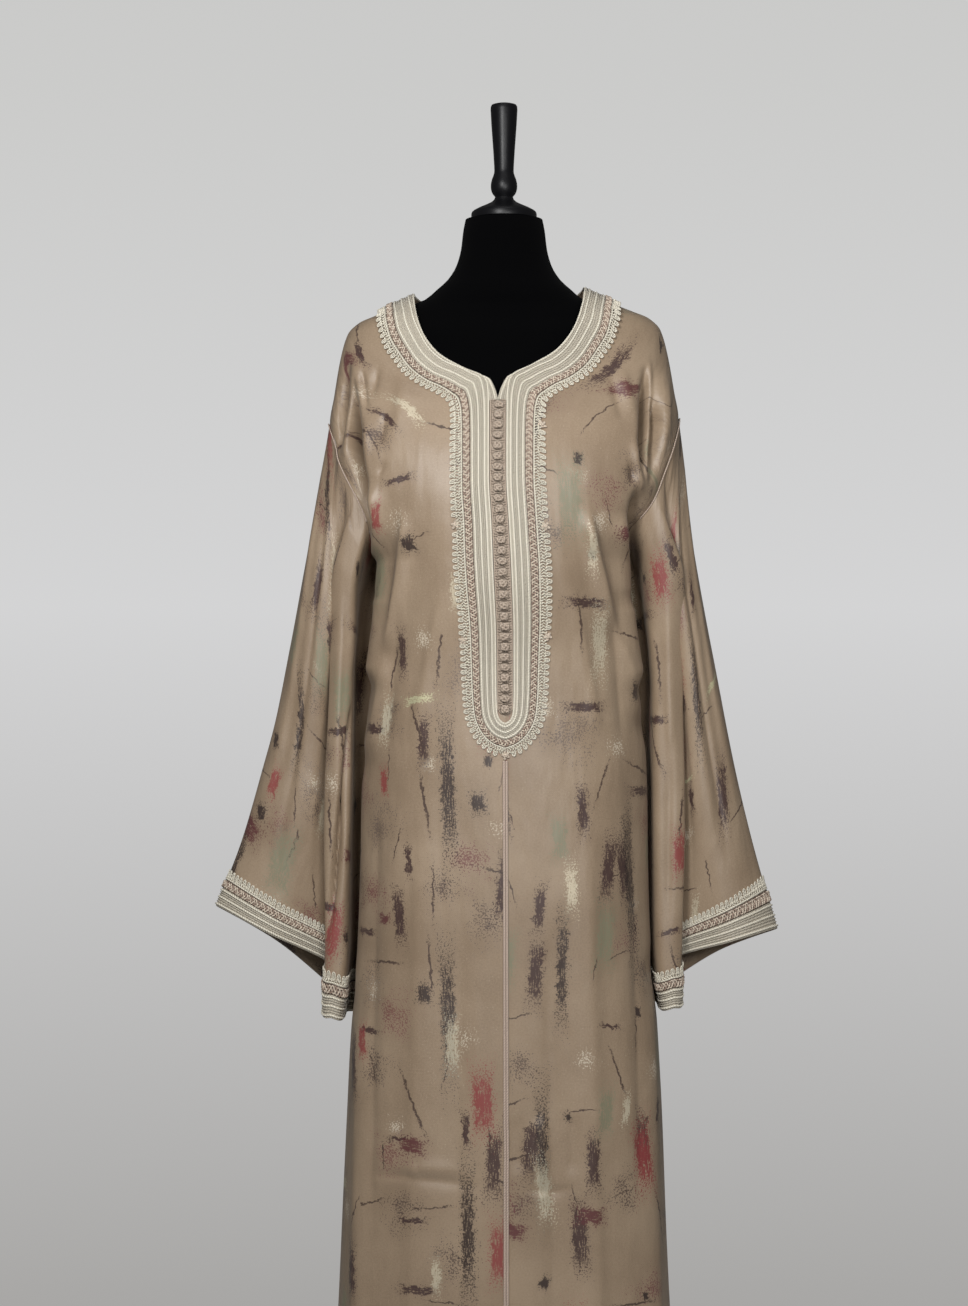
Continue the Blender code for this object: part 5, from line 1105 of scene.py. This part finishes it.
def band_sewing(trim, rows, margin, inner=(), flatness=1.0):
    """The cords and braids of a trim, side by side from its edge outwards. The rows give, at lengths along
    it, the shares across it of the three ridges, the plait's two edges and the cord outside the plait.
    The plait's dark ground, painted shade between its strands, reaches past the plait by the margin, a part
    of its width."""
    cords, braids, ground, brown, tan = sewings = [Sewing() for _ in BAND_FINISHES]
    along = np.linspace(0, trim.length, round(trim.length / CORD_STEP))
    *ridges, start, end, outside = rows(along)
    braids.ribbon(trim.at(along[:, None], np.linspace(0.0, 1.0, 14) * outside[:, None], RIBBON_LIFT)[0])
    ground_shares = start[:, None] + np.linspace(-margin, 1 + margin, 5) * (end - start)[:, None]
    # A dark ribbon under the plait, painted shade between its strands.
    ground.ribbon(trim.at(along[:, None], ground_shares, RIBBON_LIFT + 0.0002)[0])
    for share in ridges:
        cords.cords(*trim.at(along, share, RIBBON_LIFT + 0.0009), RIDGE_RADIUS, sides=7, flatness=flatness)
    between = [0 * along + share for share in inner] + ridges
    for low, high in zip(between[:-1], between[1:]):
        for part in (0.36, 0.66):
            share = low + (high - low) * part
            braids.cords(*trim.at(along, share, RIBBON_LIFT + 0.0005), FINE_RADIUS, sides=5)
    along = np.linspace(0, trim.length, round(trim.length / PLAIT_STEP))
    *_, start, end, _ = rows(along)
    for strand, sewing in enumerate((tan, brown, tan)):
        turn = (along / trim.length * round(trim.length / PLAIT_PITCH) + strand / 3) * 2 * math.pi
        share = (start + end) / 2 + (end - start) * 0.38 * np.sin(turn)
        lift = RIBBON_LIFT + 0.0012 + 0.0009 * np.sin(2 * turn)
        sewing.cords(*trim.at(along, share, lift), STRAND_RADIUS, sides=5)
    return sewings


dense = np.linspace(0, 22, 900)
outer_line = np.stack([BAND_PATH.at("outer_width", dense), BAND_PATH.at("outer_height", dense)], axis=-1)
outer_gone = gone_along(outer_line)
half_stations = np.interp(np.linspace(0, outer_gone[-1], STATIONS_PER_HALF), outer_gone, dense)
loop_stations = np.concatenate([half_stations, half_stations[-2:0:-1]])
loop_sides = np.concatenate([np.ones(STATIONS_PER_HALF), -np.ones(STATIONS_PER_HALF - 2)])[:, None]
inner_width, inner_height, outer_width, outer_height, facing = (
    BAND_PATH.at(name, loop_stations)[:, None] for name in BAND_PATH.names[1:]
)
shares_across = np.linspace(0, 1, SHARES_ACROSS)
band_places, band_ways = body_places(
    loop_sides * (inner_width + shares_across * (outer_width - inner_width)),
    inner_height + shares_across * (outer_height - inner_height), facing,
)
band_ways = softened(band_ways, 6, True)
band_places = band_places + band_ways * BAND_LIFT.at("lift", loop_stations)[:, None, None]
neck_trim = Trim(band_places, band_ways, True)
neck_rim = Trim(band_places, band_ways, True, measured_at=0.9)


def zone(name, along, trim=neck_trim):
    """The share across the band of one row of the trim, at lengths along it."""
    rows = np.clip(np.round(trim.stations(along)).astype(int), 0, len(loop_stations)) % len(loop_stations)
    return BAND_ZONES.at(name, loop_stations[rows])


neck_sewings = band_sewing(
    neck_trim, lambda along: [zone(name, along) for name in BAND_ZONES.names[1:7]], 0.012, (0.022,), 0.95
)
cream_cords, greige_cords = neck_sewings[:2]
along = np.linspace(0, neck_trim.length, round(neck_trim.length / CORD_STEP))
cream_cords.cords(*neck_trim.at(along, 0.022, RIBBON_LIFT + 0.0002), EDGE_RADIUS)
cream_cords.cords(*neck_trim.at(along, zone("line", along), RIBBON_LIFT + 0.0003), 0.00095, sides=5)
notch_heights = np.linspace(1.3440, 1.3790, NOTCH_ROWS)
notch_half = NOTCH.at("half_width", notch_heights)
band_half = np.interp(notch_heights, (1.3470, 1.3790), (0.0110, 0.0158))
for side in (-1, 1):
    places, ways = body_places(side * band_half, notch_heights, -1.0)
    places = np.repeat(places[:, None] + ways[:, None] * 0.0006, NOTCH_COLUMNS, axis=1)
    places[..., 0] += side * (notch_half - band_half)[:, None] * np.linspace(0, 1, NOTCH_COLUMNS)
    notch = Trim(places, softened(np.repeat(ways[:, None], NOTCH_COLUMNS, axis=1), 3), False)
    along = np.linspace(0, notch.length, 34)
    greige_cords.ribbon(notch.at(along[:, None], np.linspace(0.0, 1.0, 6), RIBBON_LIFT)[0])
    for share in (0.28, 0.52):
        greige_cords.cords(*notch.at(along, share, RIBBON_LIFT + 0.0006), FINE_RADIUS * 1.1, sides=5)
    cream_cords.cords(*notch.at(along, 0.76, RIBBON_LIFT + 0.0007), EDGE_RADIUS)
    greige_cords.cords(*notch.at(along, 1.0, RIBBON_LIFT + 0.0002), EDGE_RADIUS)
for sewing, (kind, finish) in zip(neck_sewings, BAND_FINISHES):
    sewing.sewn_on(f"neck_band_{kind}", finish, "neck_band")

# The scalloped edging
# Crocheted cream edging sewn along the outside of the band: a close base of slanting stitches and a
# row of small looped teeth, with five tan knotted flowers set between the teeth and one at the tip.
TOOTH_PITCH, TOOTH_HALF_WIDTH, TOOTH_RADIUS = 0.0082, 0.0021, 0.00082
STITCH_PITCH, STITCH_RADIUS, STITCH_ROWS = 0.0037, 0.00112, 3
FLOWERS = ((-1, 1.187), (-1, 1.043), (1, 1.313), (1, 1.184), (1, 1.048), (0, 0.899))
FLOWER_SHARE, RIM_DEPTH = 0.90, 0.050


def teeth(sewing, trim, count, root, tip, half_width=TOOTH_HALF_WIDTH, missing=()):
    """Crocheted loops along a trim, each with a short stitch up its middle."""
    middle = (np.arange(count) + 0.5) / count * trim.length
    middle = np.array([m for m in middle if all(abs(m - gap) > 0.0062 for gap in missing)])[:, None]
    root, tip = root(middle), tip(middle)
    out = half_width * np.array([-0.80, -1.0, -1.06, -0.92, -0.52, 0.0, 0.52, 0.92, 1.06, 1.0, 0.80])
    up = np.array([0.0, 0.26, 0.52, 0.77, 0.94, 1.0, 0.94, 0.77, 0.52, 0.26, 0.0])
    up = up * (1 - 0.10 * (1 + np.sin(5.1 * np.arange(len(middle)))) / 2)[:, None]
    lift = 0.0010 + 0.0007 * np.sin(np.linspace(0, 1, 11) * math.pi)
    sewing.cords(*trim.at(middle + out, root + (tip - root) * up, lift), TOOTH_RADIUS, sides=5)
    spoke = np.linspace(0.0, 0.80, 4)
    spoke_share = root + (tip - root) * spoke
    sewing.cords(*trim.at(middle + 0 * spoke, spoke_share, 0.0012), TOOTH_RADIUS * 0.9, sides=5)


def stitches(sewing, trim, low, high):
    """The base of the edging: rows of short slanting stitches, leaning one way and then the other."""
    count = round(trim.length / STITCH_PITCH)
    number = np.arange(count)[:, None]
    middle = number / count * trim.length
    low, high = low(middle), high(middle)
    t = np.linspace(-0.5, 0.5, 4)
    for row in range(STITCH_ROWS):
        slant = STITCH_PITCH * (0.55 if row % 2 else -0.55)
        share = low + (high - low) / STITCH_ROWS * (row + 0.5 + t + 0.16 * np.sin(4.7 * number + row))
        radius = STITCH_RADIUS * np.array([0.45, 1.0, 1.0, 0.45])
        radius = radius * (1 + 0.22 * np.sin(7.3 * number + 2.1 * row))
        shift = STITCH_PITCH * 0.22 * np.sin(11.9 * number + 3 * row)
        lift = 0.0009 + 0.0006 * np.cos(t * 3)
        sewing.cords(*trim.at(middle + shift + slant * t, share, lift), radius, sides=5)


rim_places = neck_rim.places[:, -3]
gaps = []
for side, height in FLOWERS:
    off_side = np.where(np.sign(rim_places[:, 0] + 0.0085) == side, 0.0, 9.0)
    if side == 0:
        off_side = np.abs(rim_places[:, 0]) * 4
    misses = np.abs(rim_places[:, 2] - height) + off_side + (rim_places[:, 1] > 0) * 9
    gaps.append(neck_rim.gone[np.argmin(misses)])
edging = Sewing()
stitches(edging, neck_rim, lambda a: zone("line", a, neck_rim) + 0.02,
         lambda a: zone("scallop_end", a, neck_rim))
teeth(edging, neck_rim, round(neck_rim.length / TOOTH_PITCH),
      lambda a: zone("scallop_end", a, neck_rim) - 0.03, lambda a: 0 * a + 0.985, missing=gaps)
edging.sewn_on("neck_scallop_edging", cream_thread, "neck_scallops")

flowers = Sewing()
turns = np.linspace(0, 2 * math.pi, 61)
petals = (0.0029 + 0.0021 * np.cos(5 * turns), turns, 0.0019 + 0.0006 * np.cos(10 * turns), 0.0010)
middle_ring = (0.0013, turns[::4], 0.0030, 0.0011)
for gap in gaps:
    for reach, turn, lift, radius in (petals, middle_ring):
        share = FLOWER_SHARE + reach * np.sin(turn) / RIM_DEPTH
        flowers.cords(*neck_rim.at(gap + reach * np.cos(turn), share, lift), radius, sides=5)
flowers.sewn_on("neck_scallop_flowers", tan_thread, "neck_scallops")

# The buttons and their strip
# Thirty knotted ball buttons worked in tan cord stand down the middle of the opening on a strip of
# crocheted loops. Each button is held by a loop from the other side, and they all stay fastened.
BUTTON_TOP, BUTTON_PITCH, BUTTON_COUNT = 1.337, 0.0131, 30
KNOT_HALF_SIZES, KNOT_LIFT = (0.0062, 0.0033, 0.0056), 0.0028
KNOT_CORD, KNOT_TURNS, KNOT_WAVES = 0.00140, 3, 4
CORE_LEVELS, CORE_SIDES = 7, 12
STRIP_TOP, STRIP_FOOT, STRIP_HALF_WIDTH, STRIP_LIFT = 1.3440, 0.9560, 0.0098, 0.0012
STRIP_ROWS, STRIP_COLUMNS = 160, 9
STRIP_STITCHES = ((0.06, 0.20, 1), (0.18, 0.33, -1), (0.67, 0.82, 1), (0.80, 0.94, -1))


def middle_places(heights):
    """The cloth's places and ways out down the centre line of the front, at heights."""
    places, ways = body_places(0.0, heights, -1.0)
    return places, softened(ways[:, None], 6)[:, 0]


strip_across = np.linspace(-STRIP_HALF_WIDTH, STRIP_HALF_WIDTH, STRIP_COLUMNS)
strip_heights = np.linspace(STRIP_TOP, STRIP_FOOT, STRIP_ROWS)[:, None]
strip_places, strip_ways = body_places(strip_across, strip_heights, -1.0)
strip_trim = Trim(strip_places, softened(strip_ways, 6), False)
strip_crochet, strip_underlap = Sewing(), Sewing()
along = np.linspace(0, strip_trim.length, 260)
strip_underlap.ribbon(strip_trim.at(along[:, None], np.linspace(0.02, 0.98, 6), STRIP_LIFT - 0.0004)[0])
for share in (0.035, 0.965):
    strip_crochet.cords(*strip_trim.at(along, share, STRIP_LIFT + 0.0006), 0.0009)
stitch_count = round(strip_trim.length / 0.0033)
stitch_middle = np.arange(stitch_count)[:, None] / stitch_count * strip_trim.length
stitch_turn = np.linspace(-0.5, 0.5, 5)
stitch_lift = STRIP_LIFT + 0.0007 + 0.0004 * np.cos(stitch_turn * 3)
for low, high, way in STRIP_STITCHES:
    share = (low + high) / 2 + (high - low) * stitch_turn
    middle = stitch_middle + way * 0.0022 * stitch_turn
    radius = 0.0010 * np.array([0.5, 1.0, 1.1, 1.0, 0.5])
    strip_crochet.cords(*strip_trim.at(middle, share, stitch_lift), radius, sides=5)

knot_thread = thread("tan_knot_thread", (0.18, 0.136, 0.102), (0.51, 0.412, 0.325), 0.0030)
button_places, button_ways = middle_places(BUTTON_TOP - np.arange(BUTTON_COUNT) * BUTTON_PITCH)
turn = np.linspace(0, 2 * math.pi, 85)
knot_inside = np.array(KNOT_HALF_SIZES) - KNOT_CORD
core_turns = np.linspace(0, 2 * math.pi, CORE_SIDES, endpoint=False)
core_levels = (np.linspace(-1, 1, CORE_LEVELS) * math.pi / 2)[:, None]
core = np.stack([np.cos(core_levels) * np.cos(core_turns), np.cos(core_levels) * np.sin(core_turns),
                 np.sin(core_levels) + 0 * core_turns], axis=-1) * knot_inside * 0.92
core_faces = grid_faces(CORE_LEVELS, CORE_SIDES, ring=True)
loop_turn = np.linspace(0.15, 0.85, 15) * 2 * math.pi
for number, (place, way) in enumerate(zip(button_places, button_ways)):
    across = unit(np.cross(way, (0.0, 0.0, 1.0)))
    upward = unit(np.cross(across, way))
    axes = np.stack([across, way, upward])
    wobble = math.sin(number * 2.3) * 0.12
    tilt = np.array([[math.cos(wobble), math.sin(wobble)], [-math.sin(wobble), math.cos(wobble)]])
    centre = place + way * (KNOT_LIFT + KNOT_HALF_SIZES[1])
    high_turn = 0.86 * np.sin(KNOT_WAVES * turn + number)
    flat_turn = np.sqrt(1 - high_turn**2)
    flat = flat_turn * (np.cos(KNOT_TURNS * turn), np.sin(KNOT_TURNS * turn))
    out = np.stack([*flat, high_turn], axis=-1)
    spread = out * knot_inside * (1.0 + 0.10 * np.sin(2 * KNOT_WAVES * turn + 0.8))[:, None]
    spread[:, [0, 2]] = spread[:, [0, 2]] @ tilt
    knot = Sewing()
    knot.cords(centre + spread @ axes, out @ axes, KNOT_CORD)
    knot.add(centre + core @ axes, core_faces, np.zeros((CORE_LEVELS * CORE_SIDES, 2)))
    loop_across, loop_up = 0.0076 * np.sin(loop_turn), -0.0004 + 0.0058 * np.cos(loop_turn)
    loop = place + way * 0.0024 + loop_across[:, None] * across + loop_up[:, None] * upward
    strip_crochet.cords(loop, np.broadcast_to(way, loop.shape), 0.00085, sides=5)
    knot.sewn_on(f"button_knot_{number + 1:02d}", knot_thread, f"button_{number + 1:02d}", "tan_knots")

underlap_satin = Finish("placket_underlap_satin", Base_Color=(0.27, 0.215, 0.165, 1.0), Roughness=0.7)
strip_crochet.sewn_on("button_strip_crochet", knot_thread, "button_strip")
strip_underlap.sewn_on("button_strip_underlap", underlap_satin, "button_strip")

# The cords down the centre front
# Two pinkish-cream twisted cords laid side by side and couched over the centre front seam, from the
# tip of the band down to the hem.
SEAM_CORD_RADIUS, SEAM_CORD_SPACE, SEAM_TOP, SEAM_FOOT = 0.00165, 0.00168, 0.8925, 0.0520
seam_places, seam_ways = middle_places(np.linspace(SEAM_TOP, SEAM_FOOT, 620))
pink_thread = thread("pinkish_cream_rayon_thread", (0.27, 0.190, 0.148), (0.56, 0.445, 0.365), 0.0034)
front_cords = Sewing()
for side in (-1, 1):
    line = seam_places + seam_ways * (0.0004 + SEAM_CORD_RADIUS)
    front_cords.cords(line + (side * SEAM_CORD_SPACE, 0.0, 0.0), seam_ways, SEAM_CORD_RADIUS, sides=8)
front_cords.sewn_on("front_seam_cords", pink_thread, "front_seam_braid")

# The armhole cords
# A thin pinkish-cream cord sewn over the seam where each sleeve is set into its armhole. It stops short
# of the underarm, where the sleeve lies against the body.
ARMHOLE_CORD_RADIUS, ARMHOLE_CORD_SPACE, UNDERARM_SHORT = 0.00075, 0.0008, 22
for side, label in ((-1, "left"), (1, "right")):
    seam, sleeve_ways = (grid[0] for grid in sleeves[side])
    front_ways, back_ways = (
        grid_normals(panels[side][SKIRT_ROWS:, -3:], np.array([0.0, away, 0.0]))[:, -1]
        for panels, away in ((fronts, -1.0), (halves, 1.0))
    )
    middle_way = unit(np.concatenate([front_ways[::-1][:-1], back_ways[:-1]]) + sleeve_ways)
    for _ in range(12):
        middle_way = unit(np.roll(middle_way, 1, axis=0) + 2 * middle_way + np.roll(middle_way, -1, axis=0))
    spread = np.clip((middle_way * sleeve_ways).sum(axis=1, keepdims=True), 0.4, 1.0)
    seam = seam + middle_way * (ARMHOLE_CORD_RADIUS + ARMHOLE_CORD_SPACE) / spread
    order = UNDERARM_STEP + np.arange(UNDERARM_SHORT, SLEEVE_STEPS - UNDERARM_SHORT + 1)
    order = order % SLEEVE_STEPS
    cord = Sewing()
    cord.cords(seam[order], middle_way[order], ARMHOLE_CORD_RADIUS, sides=7)
    cord.sewn_on(f"armhole_seam_cord_{label}", pink_thread, f"armhole_cord_{label}")

# The cuffs
# The same trims as on the neck band, sewn round the end of each sleeve: three cream cords with greige
# braids between them at the edge, then the plaited brown braid, and looped teeth pointing up.
CUFF_DEPTH, CUFF_STATIONS = 0.0500, 22
CUFF_ROWS = (0.045, 0.245, 0.430, 0.485, 0.715, 0.745)
CUFF_LINE, CUFF_TEETH, CUFF_TOOTH_PITCH, CUFF_TOOTH_HALF_WIDTH = CUFF_ROWS[-1], 0.845, 0.0067, 0.0019
for side, label in ((-1, "left"), (1, "right")):
    down = np.linspace(1.0, 1.0 - CUFF_DEPTH / SLEEVE_LENGTH, CUFF_STATIONS) * (SLEEVE_ROWS - 1)
    low = np.minimum(down.astype(int), SLEEVE_ROWS - 2)
    part = (down - low)[:, None, None]
    places, outward = (
        np.swapaxes(grid[low] * (1 - part) + grid[low + 1] * part, 0, 1)[::side] for grid in sleeves[side]
    )
    cuff = Trim(places, softened(outward, 2, True), True)
    upper = Trim(places, cuff.ways[:-1], True, measured_at=0.9)
    sewings = band_sewing(cuff, lambda along: [0 * along + share for share in CUFF_ROWS], 0.01304)
    along = np.linspace(0, cuff.length, round(cuff.length / CORD_STEP))
    sewings[0].cords(*cuff.at(along, CUFF_LINE, RIBBON_LIFT + 0.0004), 0.0011)
    sewings[1].cords(*cuff.at(along, 0.004, 0.0002), 0.0013)
    for sewing, (kind, finish) in zip(sewings, BAND_FINISHES):
        sewing.sewn_on(f"cuff_{kind}_{label}", finish, f"cuff_band_{label}")
    edging = Sewing()
    stitches(edging, upper, lambda a: 0 * a + CUFF_LINE + 0.015, lambda a: 0 * a + CUFF_TEETH)
    teeth(edging, upper, round(upper.length / CUFF_TOOTH_PITCH), lambda a: 0 * a + CUFF_TEETH - 0.03,
          lambda a: 0 * a + 0.99, half_width=CUFF_TOOTH_HALF_WIDTH)
    edging.sewn_on(f"cuff_scallop_edging_{label}", cream_thread, f"cuff_scallops_{label}")
